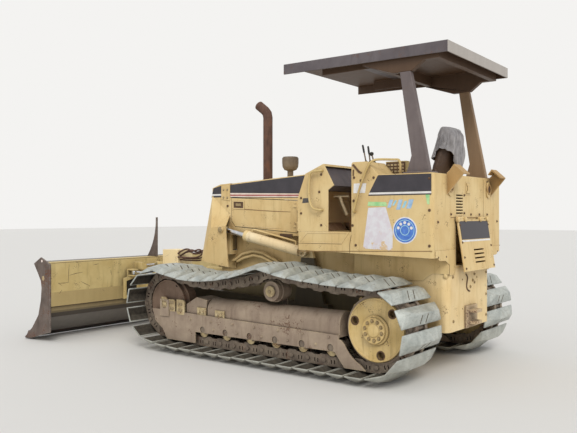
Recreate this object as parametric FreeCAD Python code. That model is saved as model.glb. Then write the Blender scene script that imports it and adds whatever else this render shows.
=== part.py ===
import FreeCAD, Part
import math
import os

# A small crawler dozer on wide swamp tracks, full size, in millimetres.
# The front is -Y, the machine's left is +X, up is +Z and the ground is Z = 0.
# "Ahead" is a distance forward from the sprocket axle, and behind it is negative.

# Undercarriage
track_gauge = 1560.0
wheel_base = 2330.0
shoe_width = 635.0
shoe_count = 40
pitch_radius = 290.0
link_half_height = 45.0
shoe_plate = 10.0
shoe_ridge = 62.0
shoe_gap = 14.0
shoe_hip = 86.0
shoe_crown_half = 100.0
shoe_shoulder_share = 0.55
idler_lift = 20.0
carrier_ahead = 1040.0
carrier_hump = 92.0
front_sag = 105.0
rear_sag = 36.0
rail_gap = 110.0
rail_thickness = 35.0
roller_count = 6
roller_first_ahead = 408.0
roller_spacing = 284.0
roller_front_flat = 120.0
roller_radius = 65.0
running_gap = 0.3
swing_gap = 5.0

# Hull
body_half = 697.0
body_rear = 378.0
hood_half = 428.0
frame_half = 330.0
panel = 12.0
platform_bottom = 980.0
floor_top = 1145.0
floor_plate = 25.0
tank_top = 1605.0
tank_inner = 400.0
console_front = 342.0
console_top = 1715.0
cowl_front = 890.0
hood_rear_top = 1666.0
guard_rear = 1916.0
guard_front = 2157.0
guard_bottom = 760.0
hood_front_top = 1600.0
frame_bottom = 330.0
frame_top = 1095.0

# Canopy
roof_half = 634.0
roof_rear = 471.0
roof_front = 1091.0
roof_top = 2622.0
roof_fall = 20.0
roof_rim = 89.0
roof_sheet = 14.0
visor_reach = 518.0

# Blade and its linkage
blade_half = 1425.0
blade_back = 3458.0
blade_tip = 3910.0
blade_top = 808.0
edge_clearance = 5.0
arm_pivot_ahead = 830.0
arm_pivot_height = 420.0
arm_inner = 352.0
arm_thickness = 70.0
kingpin_ahead = 3330.0
tilt_pin_height = 480.0
lift_x = 485.0
lug_ahead = 986.0
lug_height = 954.0
eye_ahead = 1930.0
eye_height = 1145.0
lift_barrel_radius = 48.0
lift_rod_radius = 24.0

track_depth = link_half_height + shoe_plate + shoe_ridge
sprocket_height = pitch_radius + track_depth
idler_height = sprocket_height + idler_lift
track_center = track_gauge / 2
rail_outer = rail_gap / 2 + rail_thickness
rear_reach = visor_reach
axle_y = (blade_tip - rear_reach) / 2

os.makedirs("parts", exist_ok=True)


def at(x, ahead, z):
    return FreeCAD.Vector(x, axle_y - ahead, z)


def box(x0, x1, rear, front, low, high):
    return Part.makeBox(x1 - x0, front - rear, high - low, at(x0, front, low))


def rod(radius, start, end):
    return Part.makeCylinder(radius, start.distanceToPoint(end), start, end - start)


def cross_rod(radius, x0, x1, ahead, z):
    return rod(radius, at(x0, ahead, z), at(x1, ahead, z))


def post(radius, x, ahead, low, high):
    return rod(radius, at(x, ahead, low), at(x, ahead, high))


def prism(sides, radius, x0, x1, ahead, z):
    # A cross rod with flat sides, for wheels that repeat.
    corners = []
    for side in range(sides):
        turn = 2 * math.pi * side / sides
        corners.append((ahead + radius * math.cos(turn), z + radius * math.sin(turn)))
    return side_profile(corners, x0, x1)


def closed_face(points):
    return Part.Face(Part.makePolygon(points + [points[0]]))


def side_profile(points, x0, x1):
    # Points are (ahead, z) pairs.
    face = closed_face([at(x0, ahead, z) for ahead, z in points])
    return face.extrude(FreeCAD.Vector(x1 - x0, 0, 0))


def plan_profile(points, low, high):
    # Points are (x, ahead) pairs.
    face = closed_face([at(x, ahead, low) for x, ahead in points])
    return face.extrude(FreeCAD.Vector(0, 0, high - low))


def rear_profile(points, rear, front):
    # Points are (x, z) pairs.
    face = closed_face([at(x, rear, z) for x, z in points])
    return face.extrude(FreeCAD.Vector(0, rear - front, 0))


def joined(shapes):
    whole = shapes[0]
    if len(shapes) > 1:
        whole = whole.multiFuse(shapes[1:])
    return whole.removeSplitter()


def mirrored(shape):
    return shape.mirror(FreeCAD.Vector(0, 0, 0), FreeCAD.Vector(1, 0, 0))


def both_sides(shapes):
    return shapes + [mirrored(shape) for shape in shapes]


def solid_of(faces):
    solid = Part.Solid(Part.Shell(faces))
    if solid.Volume < 0:
        solid.reverse()
    return solid


def bent_tube(points, radius, bend, sides=12):
    # A flat-sided tube along straight runs, with two chords on the arc at each inner point.
    path = [points[0]]
    for before, corner, after in zip(points, points[1:], points[2:]):
        way_in = (corner - before).normalize()
        way_out = (after - corner).normalize()
        turn = way_in.getAngle(way_out)
        reach = bend * math.tan(turn / 2)
        inward = (way_out - way_in).normalize()
        middle = corner + inward * (bend / math.cos(turn / 2) - bend)
        path.extend([corner - way_in * reach, middle, corner + way_out * reach])
    path.append(points[-1])
    ways = [(two - one).normalize() for one, two in zip(path, path[1:])]
    aside = ways[0].cross(FreeCAD.Vector(0.3, 0.5, 0.8)).normalize()
    up = ways[0].cross(aside)
    ring = []
    for side in range(sides):
        turn = 2 * math.pi * side / sides
        ring.append(path[0] + aside * (radius * math.cos(turn)) + up * (radius * math.sin(turn)))
    faces = [closed_face(ring)]
    for way, follow, end in zip(ways, ways[1:] + [ways[-1]], path[1:]):
        mitre = way + follow
        moved = [point + way * ((end - point).dot(mitre) / way.dot(mitre)) for point in ring]
        for one in range(sides):
            two = (one + 1) % sides
            faces.append(closed_face([ring[one], ring[two], moved[two], moved[one]]))
        ring = moved
    faces.append(closed_face(ring))
    return solid_of(faces)


def save(name, shapes):
    solids = []
    for shape in shapes:
        solids.extend(shape.Solids)
    whole = solids[0] if len(solids) == 1 else Part.makeCompound(solids)
    whole.exportStep("parts/" + name + ".step")
    volume = sum(solid.Volume for solid in solids)
    valid = all(solid.isValid() for solid in solids)
    print(name, len(solids), "solids", round(volume / 1e6, 2), "litres", "" if valid else "INVALID")


def save_sides(name, shapes):
    save(name + "_left", shapes)
    save(name + "_right", [mirrored(shape) for shape in shapes])


# The chain's pitch line, as (ahead, z) points round the loop
def sagging_span(start, end, sag, steps):
    points = []
    for step in range(steps):
        share = step / steps
        ahead = start[0] + (end[0] - start[0]) * share
        chord = start[1] + (end[1] - start[1]) * share
        points.append((ahead, chord - 4 * sag * share * (1 - share)))
    return points


def wheel_arc(ahead, height, first, last, steps):
    points = []
    for step in range(steps):
        turn = math.radians(first + (last - first) * step / steps)
        points.append((ahead + pitch_radius * math.cos(turn), height + pitch_radius * math.sin(turn)))
    return points


def pitch_line():
    roller_last_ahead = roller_first_ahead + (roller_count - 1) * roller_spacing
    sprocket_top = (0.0, sprocket_height + pitch_radius)
    carrier_top = (carrier_ahead, sprocket_height + pitch_radius + carrier_hump)
    idler_top = (wheel_base, idler_height + pitch_radius)
    idler_bottom = (wheel_base, idler_height - pitch_radius)
    ground_rear = (roller_first_ahead, track_depth)
    ground_front = (roller_last_ahead + roller_front_flat, track_depth)
    sprocket_bottom = (0.0, sprocket_height - pitch_radius)
    line = wheel_arc(0.0, sprocket_height, 270, 90, 200)
    line += sagging_span(sprocket_top, carrier_top, rear_sag, 200)
    line += sagging_span(carrier_top, idler_top, front_sag, 200)
    line += wheel_arc(wheel_base, idler_height, 90, -90, 200)
    line += sagging_span(idler_bottom, ground_front, 0, 50)
    line += sagging_span(ground_front, ground_rear, 0, 200)
    line += sagging_span(ground_rear, sprocket_bottom, 0, 50)
    return line


def link_joints():
    # Equal steps along the pitch line, one for each shoe.
    line = pitch_line()
    closed = line + [line[0]]
    lengths = [math.dist(one, two) for one, two in zip(closed, closed[1:])]
    step = sum(lengths) / shoe_count
    joints = []
    walked = 0.0
    for (one, two), length in zip(zip(closed, closed[1:]), lengths):
        while len(joints) < shoe_count and walked + length >= len(joints) * step:
            share = (len(joints) * step - walked) / length
            joints.append((one[0] + (two[0] - one[0]) * share, one[1] + (two[1] - one[1]) * share))
        walked += length
    return joints


def outward(one, two):
    # The loop runs over the top towards the front, so outward is on the left of travel.
    along = (two[0] - one[0], two[1] - one[1])
    length = math.hypot(*along)
    return (along[0] / length, along[1] / length), (-along[1] / length, along[0] / length)


def offset_loop(joints, distance):
    points = []
    for before, here, after in zip([joints[-1]] + joints[:-1], joints, joints[1:] + [joints[0]]):
        normal_in = outward(before, here)[1]
        normal_out = outward(here, after)[1]
        total = (normal_in[0] + normal_out[0], normal_in[1] + normal_out[1])
        scale = 2 * distance / (total[0] ** 2 + total[1] ** 2)
        points.append((here[0] + total[0] * scale, here[1] + total[1] * scale))
    return points


def shoe(one, two):
    # A swamp shoe: a flat plate under a hipped ridge that lies across the track.
    along, out = outward(one, two)
    half_long = math.dist(one, two) / 2 - shoe_gap / 2
    half_wide = shoe_width / 2
    middle = ((one[0] + two[0]) / 2, (one[1] + two[1]) / 2)

    def corner(x, run, rise):
        ahead = middle[0] + along[0] * run + out[0] * rise
        z = middle[1] + along[1] * run + out[1] * rise
        return at(track_center + x, ahead, z)

    inner = link_half_height
    outer = link_half_height + shoe_plate
    shoulder = outer + shoe_ridge * shoe_shoulder_share
    hip_x = half_wide - shoe_hip
    plate = [(-half_wide, -half_long), (half_wide, -half_long), (half_wide, half_long),
             (-half_wide, half_long)]
    base = [corner(x, run, inner) for x, run in plate]
    rim = [corner(x, run, outer) for x, run in plate]
    hips = [corner(-hip_x, 0, shoulder), corner(hip_x, 0, shoulder)]
    crown = [corner(-shoe_crown_half, 0, track_depth), corner(shoe_crown_half, 0, track_depth)]
    faces = [closed_face(base)]
    for index in range(4):
        follow = (index + 1) % 4
        faces.append(closed_face([base[index], base[follow], rim[follow], rim[index]]))
    faces.append(closed_face([rim[1], rim[2], hips[1]]))
    faces.append(closed_face([rim[3], rim[0], hips[0]]))
    for left, right in ((rim[0], rim[1]), (rim[3], rim[2])):
        faces.append(closed_face([left, right, crown[1], crown[0]]))
        faces.append(closed_face([right, hips[1], crown[1]]))
        faces.append(closed_face([left, crown[0], hips[0]]))
    return solid_of(faces)


def track():
    joints = link_joints()
    outer_loop = offset_loop(joints, link_half_height)
    inner_loop = offset_loop(joints, -link_half_height)
    pieces = []
    for low in (track_center - rail_outer, track_center + rail_gap / 2):
        rail = side_profile(outer_loop, low, low + rail_thickness)
        pieces.append(rail.cut(side_profile(inner_loop, low, low + rail_thickness)))
    for one, two in zip(joints, joints[1:] + [joints[0]]):
        pieces.append(shoe(one, two))
    return joined(pieces)


save_sides("track", [track()])


# Wheels of the undercarriage
def height_under_rail(ahead):
    # The lowest the rails' inner edge comes above a place on the top run.
    inner_loop = offset_loop(link_joints(), -link_half_height)
    lowest = idler_height * 3
    for one, two in zip(inner_loop, inner_loop[1:] + [inner_loop[0]]):
        if min(one[0], two[0]) <= ahead <= max(one[0], two[0]) and one[1] > sprocket_height:
            share = (ahead - one[0]) / (two[0] - one[0])
            lowest = min(lowest, one[1] + (two[1] - one[1]) * share)
    return lowest


wheel_sides = 24
large_wheel_sides = 48
tooth_count = 22
tooth_root = 262.0
tooth_tip = 300.0
sprocket_thickness = 44.0
drive_disc_radius = 244.0
drive_disc_face = 112.0
drive_disc_thickness = 16.0
drive_drum_radius = 222.0
hub_radius = 98.0
hub_stand = 40.0
hole_circle = 195.0
hole_radius = 27.0
hole_first_angle = 43.0


def toothed_ring():
    points = []
    for tooth in range(tooth_count):
        center = 360.0 * tooth / tooth_count
        for lead, radius in ((-5.2, tooth_root), (-2.4, tooth_tip), (2.4, tooth_tip), (5.2, tooth_root)):
            turn = math.radians(center + lead)
            points.append((radius * math.cos(turn), sprocket_height + radius * math.sin(turn)))
    half = sprocket_thickness / 2
    return side_profile(points, track_center - half, track_center + half)


def sprocket():
    face_x = track_center + drive_disc_face
    disc_back = face_x - drive_disc_thickness
    drum = cross_rod(drive_drum_radius, track_center, disc_back, 0, sprocket_height)
    disc = cross_rod(drive_disc_radius, disc_back, face_x, 0, sprocket_height)
    hub = cross_rod(hub_radius, face_x, face_x + hub_stand, 0, sprocket_height)
    whole = joined([toothed_ring(), drum, disc, hub])
    for index in range(3):
        turn = math.radians(hole_first_angle + 120 * index)
        ahead = -hole_circle * math.cos(turn)
        height = sprocket_height + hole_circle * math.sin(turn)
        whole = whole.cut(prism(wheel_sides, hole_radius, face_x - 3 * drive_disc_thickness, face_x + 1,
                                ahead, height))
    return whole


save("sprockets", both_sides([sprocket()]))

# The rails lie on chords between the joints, so the idler's tread stays inside their middles.
link_pitch = math.dist(*link_joints()[:2])
chord_radius = math.sqrt(pitch_radius ** 2 - (link_pitch / 2) ** 2)
idler_tread = chord_radius - link_half_height - 2
idler_flange = idler_tread + 30
idler_tread_half = rail_outer - 6
idler_flange_half = rail_gap / 2 - 8
idler_shaft_radius = 38.0
idler_web = 6.0
idler_rim = 14.0
idler_shaft_reach = 22.0


def idler():
    low = track_center - idler_tread_half
    high = track_center + idler_tread_half
    sides = large_wheel_sides
    tread = prism(sides, idler_tread, low, high, wheel_base, idler_height)
    flange = prism(sides, idler_flange, track_center - idler_flange_half, track_center + idler_flange_half,
                   wheel_base, idler_height)
    wheel = joined([tread, flange])
    for side in (low, high - idler_web):
        wheel = wheel.cut(prism(sides, idler_tread - idler_rim, side, side + idler_web,
                                wheel_base, idler_height))
    shaft = prism(wheel_sides, idler_shaft_radius, low - idler_shaft_reach, high + idler_shaft_reach,
                  wheel_base, idler_height)
    return joined([wheel, shaft])


save("idlers", both_sides([idler()]))

roller_height = track_depth + link_half_height + roller_radius + running_gap
roller_flange = 80.0
roller_cap = 30.0
roller_half = 118.0


def track_roller(ahead):
    tread = prism(wheel_sides, roller_radius, track_center - rail_outer - 10, track_center + rail_outer + 10,
                  ahead, roller_height)
    rims = []
    for low in (track_center - rail_gap / 2 + 6, track_center + rail_gap / 2 - 20):
        rims.append(prism(wheel_sides, roller_flange, low, low + 14, ahead, roller_height))
    shaft = prism(wheel_sides, roller_cap, track_center - roller_half, track_center + roller_half,
                  ahead, roller_height)
    return joined([tread, shaft] + rims)


roller_places = [roller_first_ahead + index * roller_spacing for index in range(roller_count)]
save("track_rollers", both_sides([track_roller(ahead) for ahead in roller_places]))

carrier_radius = 86.0
carrier_flange = 98.0
carrier_hub = 42.0
carrier_height = min(height_under_rail(carrier_ahead - 60), height_under_rail(carrier_ahead),
                     height_under_rail(carrier_ahead + 60)) - carrier_radius - 2


def carrier_roller():
    tread = prism(large_wheel_sides, carrier_radius, track_center - rail_outer, track_center + rail_outer,
                  carrier_ahead, carrier_height)
    flange = prism(large_wheel_sides, carrier_flange, track_center - 40, track_center + 40,
                   carrier_ahead, carrier_height)
    hub = prism(wheel_sides, carrier_hub, track_center - rail_outer - 26, track_center + rail_outer + 16,
                carrier_ahead, carrier_height)
    return joined([tread, flange, hub])


save("carrier_rollers", both_sides([carrier_roller()]))

# Track frame: a beam over the rollers with a rounded cover and side guards
beam_half = 125.0
beam_bottom = 314.0
beam_shoulder = 334.0
cover_half = 104.0
cover_wall_top = 430.0
cover_top = 516.0
cover_rear = 330.0
cover_front = 1780.0
guard_plate = 12.0
guard_low = 200.0
guard_tip_ahead = 2512.0
guide_low = 96.0
guide_rear = 1921.0
guide_front = 2372.0
sprocket_clearance = 310.0
recoil_gap = 14.0
bracket_long = 60.0
cross_tube_radius = 55.0
cross_tube_height = 345.0
cross_tube_places = (430.0, 640.0)
carrier_post_half = 26.0


def rounded_cover():
    wall = [at(track_center - cover_half, cover_rear, beam_shoulder),
            at(track_center - cover_half, cover_rear, cover_wall_top),
            at(track_center, cover_rear, cover_top),
            at(track_center + cover_half, cover_rear, cover_wall_top),
            at(track_center + cover_half, cover_rear, beam_shoulder)]
    edges = [Part.LineSegment(wall[0], wall[1]).toShape(),
             Part.Arc(wall[1], wall[2], wall[3]).toShape(),
             Part.LineSegment(wall[3], wall[4]).toShape(),
             Part.LineSegment(wall[4], wall[0]).toShape()]
    return Part.Face(Part.Wire(edges)).extrude(FreeCAD.Vector(0, cover_rear - cover_front, 0))


def track_frame():
    inner = track_center - beam_half
    outer = track_center + beam_half
    beam = box(inner, outer, cover_rear, cover_front + 200, beam_bottom, beam_shoulder)
    recoil = side_profile([(cover_front + recoil_gap, beam_shoulder), (cover_front + recoil_gap, 502),
                           (1921, 520), (2055, 446), (2055, beam_shoulder)],
                          track_center - cover_half, track_center + cover_half)
    pieces = [beam, rounded_cover(), recoil]
    guard_front_line = [(cover_rear, guard_low), (cover_rear, beam_shoulder),
                        (guard_tip_ahead, beam_shoulder + 40),
                        (guard_tip_ahead - 45, guard_low + 60), (guard_tip_ahead - 130, guard_low)]
    for low in (inner, outer - guard_plate):
        pieces.append(side_profile(guard_front_line, low, low + guard_plate))
        pieces.append(side_profile([(guide_rear, guard_low), (guide_front, guard_low),
                                    (guide_front - 70, guide_low), (guide_rear, guide_low)],
                                   low, low + guard_plate))
        pieces.append(side_profile([(cover_rear - 18, 300), (cover_rear + 40, 300),
                                    (cover_rear + 40, guard_low),
                                    (275, 84), (84, 84)], low, low + guard_plate))
        pieces.append(box(low - 10, low + guard_plate + 10, wheel_base - 60, wheel_base + 60,
                          beam_shoulder - 20, idler_height + 46))
    for ahead in roller_places:
        for low in (inner + guard_plate, outer - guard_plate - 10):
            pieces.append(box(low, low + 10, ahead - bracket_long / 2, ahead + bracket_long / 2,
                              roller_height - roller_cap - 8, beam_bottom))
    pieces.append(box(inner + guard_plate, track_center - rail_outer - 14, carrier_ahead - carrier_post_half,
                      carrier_ahead + carrier_post_half, beam_shoulder, carrier_height + carrier_hub + 10))
    for ahead in cross_tube_places:
        pieces.append(cross_rod(cross_tube_radius, frame_half, inner + guard_plate, ahead,
                                cross_tube_height))
    whole = joined(pieces)
    whole = whole.cut(cross_rod(sprocket_clearance, inner - 1, outer + 1, 0, sprocket_height))
    for ahead in roller_places:
        whole = whole.cut(prism(wheel_sides, roller_cap + running_gap, inner, outer, ahead, roller_height))
    whole = whole.cut(prism(wheel_sides, idler_shaft_radius + running_gap, inner - 20, outer + 20,
                            wheel_base, idler_height))
    return whole.cut(prism(wheel_sides, carrier_hub + running_gap, inner, track_center,
                           carrier_ahead, carrier_height))


save_sides("track_frame", [track_frame()])

# Rear case, final drives and drawbar
case_half = 427.0
case_bottom = 356.0
case_top = 855.0
case_front = 300.0
case_corner = 60.0
drive_housing_radius = 180.0
pad_height = 640.0
pad_bolt_x = 150.0
pad_bolt_z = 120.0
pad_bolt_radius = 9.0
pad_bolt_depth = 40.0


def rear_case():
    block = box(-case_half, case_half, -body_rear, case_front, case_bottom, case_top)
    corners = [edge for edge in block.Edges
               if abs(edge.Vertexes[0].X - edge.Vertexes[-1].X) < 1
               and abs(edge.Vertexes[0].Y - edge.Vertexes[-1].Y) < 1
               and edge.Vertexes[0].Y > axle_y]
    block = block.makeFillet(case_corner, corners)
    for x in (-pad_bolt_x, pad_bolt_x):
        for z in (pad_height - pad_bolt_z, pad_height + pad_bolt_z):
            block = block.cut(rod(pad_bolt_radius, at(x, -body_rear - 1, z),
                                  at(x, -body_rear + pad_bolt_depth, z)))
    return block


save("transmission_case", [rear_case()])

drive_inner_end = track_center - sprocket_thickness / 2 - swing_gap


def final_drive():
    wide = cross_rod(drive_housing_radius, case_half, drive_inner_end - 60, 0, sprocket_height)
    narrow = cross_rod(drive_housing_radius - 40, drive_inner_end - 60,
                       track_center - sprocket_thickness / 2,
                       0, sprocket_height)
    return joined([wide, narrow])


save("final_drives", both_sides([final_drive()]))

hitch_height = 450.0
hitch_ear = 25.0
hitch_slot = 70.0
hitch_reach = 86.0
hitch_half = 75.0
hitch_pin_hole = 18.0


def drawbar_hitch():
    base = box(-hitch_half - 40, hitch_half + 40, -body_rear - 20, -body_rear,
               hitch_height - 90, hitch_height + 90)
    ears = []
    for low in (hitch_height - hitch_slot / 2 - hitch_ear, hitch_height + hitch_slot / 2):
        ear = plan_profile([(-hitch_half, -body_rear), (hitch_half, -body_rear),
                            (hitch_half * 0.7, -body_rear - hitch_reach),
                            (-hitch_half * 0.7, -body_rear - hitch_reach)], low, low + hitch_ear)
        ears.append(ear)
    whole = joined([base] + ears)
    return whole.cut(post(hitch_pin_hole, 0, -body_rear - hitch_reach + 34, hitch_height - 100,
                          hitch_height + 100))


save("drawbar_hitch", [drawbar_hitch()])

# Main frame: two side plates on a belly plate, with the blade frame's trunnions
frame_plate = 30.0
belly_plate = 25.0
trunnion_radius = 36.0
trunnion_cap = 52.0
arm_outer = arm_inner + arm_thickness


def main_frame():
    pieces = [box(-frame_half, frame_half, case_front, guard_front - 40, frame_bottom,
                  frame_bottom + belly_plate)]
    for low in (-frame_half, frame_half - frame_plate):
        pieces.append(box(low, low + frame_plate, case_front, guard_front - 40, frame_bottom, guard_bottom))
        pieces.append(box(low, low + frame_plate, case_front, guard_rear, guard_bottom, frame_top))
    pieces.append(box(-frame_half, frame_half, guard_front - 70, guard_front - 40, frame_bottom,
                      guard_bottom))
    for side in (-1, 1):
        pieces.append(cross_rod(trunnion_cap, side * frame_half, side * (arm_inner - swing_gap),
                                arm_pivot_ahead, arm_pivot_height))
        pieces.append(cross_rod(trunnion_radius, side * frame_half, side * (arm_outer + swing_gap + 10),
                                arm_pivot_ahead, arm_pivot_height))
        pieces.append(cross_rod(trunnion_cap, side * (arm_outer + swing_gap),
                                side * (arm_outer + swing_gap + 10),
                                arm_pivot_ahead, arm_pivot_height))
    return joined(pieces)


save("main_frame", [main_frame()])

engine_half = 240.0
engine_rear = 1150.0
engine_front = 1900.0
engine_bottom = 520.0
engine_top = 1350.0


def engine():
    block = box(-engine_half, engine_half, engine_rear, engine_front, engine_bottom, engine_top)
    feet = box(-frame_half + frame_plate, frame_half - frame_plate, engine_rear + 150, engine_rear + 260,
               engine_bottom + 60, engine_bottom + 160)
    return joined([block, feet])


save("engine_block", [engine()])

# Hood, doors and radiator guard
hood_flange = 14.0
door_rear = 1094.0
door_front = 1895.0
door_gap = 6.0
door_corners = [(door_rear, 1125), (1850, 1178), (door_front, 1232), (door_front, 1454), (door_rear, 1416)]
hinge_ahead = door_rear - 8
hinge_radius = 8.0
hinge_out = hinge_radius + running_gap


def hood_line(ahead):
    return hood_rear_top + (hood_front_top - hood_rear_top) * (ahead - cowl_front) / (guard_rear - cowl_front)


def grown(points, grow):
    center = (sum(a for a, z in points) / len(points), sum(z for a, z in points) / len(points))
    return [(a + math.copysign(grow, a - center[0]), z + math.copysign(grow, z - center[1]))
            for a, z in points]


def hood():
    outer = rear_profile([(-hood_half, frame_top), (-hood_half, 2000), (hood_half, 2000),
                          (hood_half, frame_top)],
                         cowl_front, guard_rear)
    slope = side_profile([(cowl_front - 10, frame_top - 10), (cowl_front - 10, hood_line(cowl_front - 10)),
                          (guard_rear + 10, hood_line(guard_rear + 10)), (guard_rear + 10, frame_top - 10)],
                         -hood_half, hood_half)
    outer = outer.common(slope)
    edges = [edge for edge in outer.Edges if abs(abs(edge.CenterOfMass.x) - hood_half) < 1
             and edge.CenterOfMass.z > hood_front_top - 5 and edge.Length > 500]
    outer = outer.makeFillet(45, edges)
    inner = side_profile([(cowl_front - 10, frame_top + hood_flange),
                          (cowl_front - 10, hood_line(cowl_front - 10) - panel),
                          (guard_rear + 10, hood_line(guard_rear + 10) - panel),
                          (guard_rear + 10, frame_top + hood_flange)],
                         -hood_half + panel, hood_half - panel)
    edges = [edge for edge in inner.Edges if abs(abs(edge.CenterOfMass.x) - hood_half + panel) < 1
             and edge.CenterOfMass.z > hood_front_top - 40 and edge.Length > 500]
    inner = inner.makeFillet(45 - panel, edges)
    shell = outer.cut(inner)
    under = frame_half - frame_plate
    shell = shell.cut(box(-under, under, cowl_front - 10, guard_rear + 10, frame_top - 10,
                          frame_top + hood_flange))
    for side in (-1, 1):
        low, high = sorted((side * (hood_half - panel - 40), side * (hood_half + 1)))
        shell = shell.cut(side_profile(grown(door_corners, door_gap), low, high))
        for z in (1185, 1370):
            for low_z in (z - 42, z + 14):
                knuckle = post(hinge_radius, side * (hood_half + hinge_out), hinge_ahead, low_z, low_z + 28)
                low, high = sorted((side * hood_half, side * (hood_half + hinge_out)))
                leaf = box(low, high, hinge_ahead - 30, hinge_ahead, low_z, low_z + 28)
                shell = joined([shell, knuckle, leaf])
    return shell


save("hood", [hood()])


def engine_door():
    plate = side_profile(door_corners, hood_half - panel, hood_half)
    knuckles = []
    for z in (1185, 1370):
        knuckle = post(hinge_radius, hood_half + hinge_out, hinge_ahead, z - 13, z + 13)
        leaf = box(hood_half, hood_half + hinge_out, hinge_ahead, door_rear + 40, z - 13, z + 13)
        knuckles.extend([knuckle, leaf])
    return joined([plate] + knuckles)


save_sides("engine_door", [engine_door()])

guard_wall = 38.0
guard_waist = 900.0
guard_waist_half = 340.0
wing_out = 541.0
wing_plate = 14.0
wing_corners = [(1880, 1180), (2070, 1163), (2202, 830), (1843, 783), (1872, 1090)]
flare_top = 1480.0
flare_rear_top = 1290.0
eye_half_width = 20.0
eye_radius = 42.0
boss_radius = 30.0


def flared_skins(side):
    # Flat sheets that lead from the guard's side out to the plate over the cylinder's eye.
    top_front = at(side * wing_out, *wing_corners[1])
    low_front = at(side * wing_out, *wing_corners[2])
    top_rear = at(side * wing_out, *wing_corners[0])
    guard_corner = at(side * hood_half, guard_front, flare_top)
    guard_side = at(side * hood_half, guard_rear + 8, flare_rear_top)
    inward = FreeCAD.Vector(-side * wing_plate, 0, 0)
    sheets = []
    for corners in ([top_front, low_front, guard_corner], [top_front, guard_corner, guard_side],
                    [top_front, guard_side, top_rear]):
        sheets.append(closed_face(corners).extrude(inward))
    return sheets


def radiator_guard():
    side_line = [(guard_rear, guard_waist), (guard_rear, hood_front_top), (2054, 1591), (guard_front, 1557),
                 (guard_front, guard_waist)]
    upper = side_profile(side_line, -hood_half, hood_half)
    lower = box(-guard_waist_half, guard_waist_half, guard_rear, guard_front, guard_bottom, guard_waist)
    whole = joined([upper, lower])
    whole = whole.cut(box(-hood_half + guard_wall, hood_half - guard_wall, guard_rear - 1, guard_front + 1,
                          guard_waist + guard_wall, 1520))
    whole = whole.cut(box(-guard_waist_half + guard_wall, guard_waist_half - guard_wall, guard_rear - 1,
                          guard_front + 1, guard_bottom - 1, guard_waist + guard_wall))
    pieces = [whole]
    for side in (-1, 1):
        low, high = sorted((side * (wing_out - wing_plate), side * wing_out))
        pieces.append(side_profile(wing_corners, low, high))
        low, high = sorted((side * hood_half, side * wing_out))
        pieces.extend(flared_skins(side))
        pieces.append(rear_profile([(side * hood_half, flare_top), (side * wing_out, 830),
                                    (side * hood_half, 830)], guard_front - wing_plate, guard_front))
        low, high = sorted((side * (lift_x + eye_half_width + swing_gap), side * (wing_out + 18)))
        pieces.append(cross_rod(boss_radius, low, high, eye_ahead, eye_height))
        low, high = sorted((side * hood_half, side * (lift_x - eye_half_width - swing_gap)))
        pieces.append(cross_rod(boss_radius, low, high, eye_ahead, eye_height))
    return joined(pieces)


save("radiator_guard", [radiator_guard()])

grille_bars = 16
grille_bar_depth = 30.0
grille_bar_height = 16.0
grille_recess = 12.0


def front_grille():
    half = hood_half - guard_wall
    low = guard_waist + guard_wall
    rear = guard_front - grille_recess - grille_bar_depth
    front = guard_front - grille_recess
    rim = box(-half, half, rear, front, low, 1520)
    rim = rim.cut(box(-half + 25, half - 25, rear - 1, front + 1, low + 25, 1495))
    bars = [rim, box(-12, 12, rear, front, low, 1520)]
    pitch = (1495 - low - 25) / grille_bars
    for index in range(grille_bars):
        z = low + 25 + pitch * (index + 0.5)
        bars.append(box(-half + 20, half - 20, rear + 4, front - 4, z - grille_bar_height / 2,
                        z + grille_bar_height / 2))
    return joined(bars)


save("front_grille", [front_grille()])
save("radiator_core", [box(-hood_half + guard_wall, hood_half - guard_wall, 1960, 2060,
                           guard_waist + guard_wall, 1500)])

# Operator's platform, cowl and side tanks
def floor_platform():
    pieces = [box(-body_half, body_half, console_front, cowl_front - panel, floor_top - floor_plate,
                  floor_top),
              box(-tank_inner, tank_inner, -body_rear + 40, console_front, floor_top - floor_plate,
                  floor_top)]
    for side in (-1, 1):
        low, high = sorted((side * (body_half - 20), side * body_half))
        pieces.append(side_profile([(console_front + 20, platform_bottom - 5),
                                    (console_front + 20, platform_bottom + 60),
                                    (console_front + 4, floor_top - floor_plate),
                                    (cowl_front - panel, floor_top - floor_plate),
                                    (cowl_front - panel, platform_bottom + 5)], low, high))
        low, high = sorted((side * 300, side * 400))
        pieces.append(box(low, high, case_front - 120, case_front, case_top, floor_top - floor_plate))
    return joined(pieces)


save("floor_platform", [floor_platform()])

cowl_outline = [(cowl_front, floor_top), (cowl_front, 1425), (806, 1639), (618, console_top + 1),
                (514, 1533),
                (572, 1494), (572, floor_top)]


def cowl():
    outer = side_profile(cowl_outline, -body_half, body_half)
    inner = side_profile([(cowl_front - panel, floor_top - 10), (cowl_front - panel, 1422), (798, 1627),
                          (630, 1696), (400, 1696), (400, floor_top - 10)],
                         -body_half + panel, body_half - panel)
    return outer.cut(inner)


save("cowl", [cowl()])

dash_half = body_half - panel - running_gap


def instrument_panel():
    top = side_profile([(628, 1694), (522, 1530), (575, 1490), (700, 1490), (700, 1660)], -dash_half,
                       dash_half)
    column = box(-160, 160, 640, 700, floor_top, 1490)
    return joined([top, column])


save("instrument_panel", [instrument_panel()])

tank_bottom = 955.0
tank_front_bottom = 972.0
tank_outline = [(-body_rear, tank_bottom), (-body_rear, tank_top), (95, tank_top), (200, console_top),
                (330, console_top), (console_front, 1700), (console_front, floor_top - floor_plate),
                (console_front + 16, platform_bottom + 60), (console_front + 16, tank_front_bottom)]
side_plate = 6.0
side_plate_line = [(-388, 894), (-388, 820), (-244, 818), (-166, 760), (-100, 754), (480, 754),
                   (480, tank_bottom), (console_front, tank_bottom + 4), (-body_rear, tank_bottom + 4),
                   (-body_rear, 894)]


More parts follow.
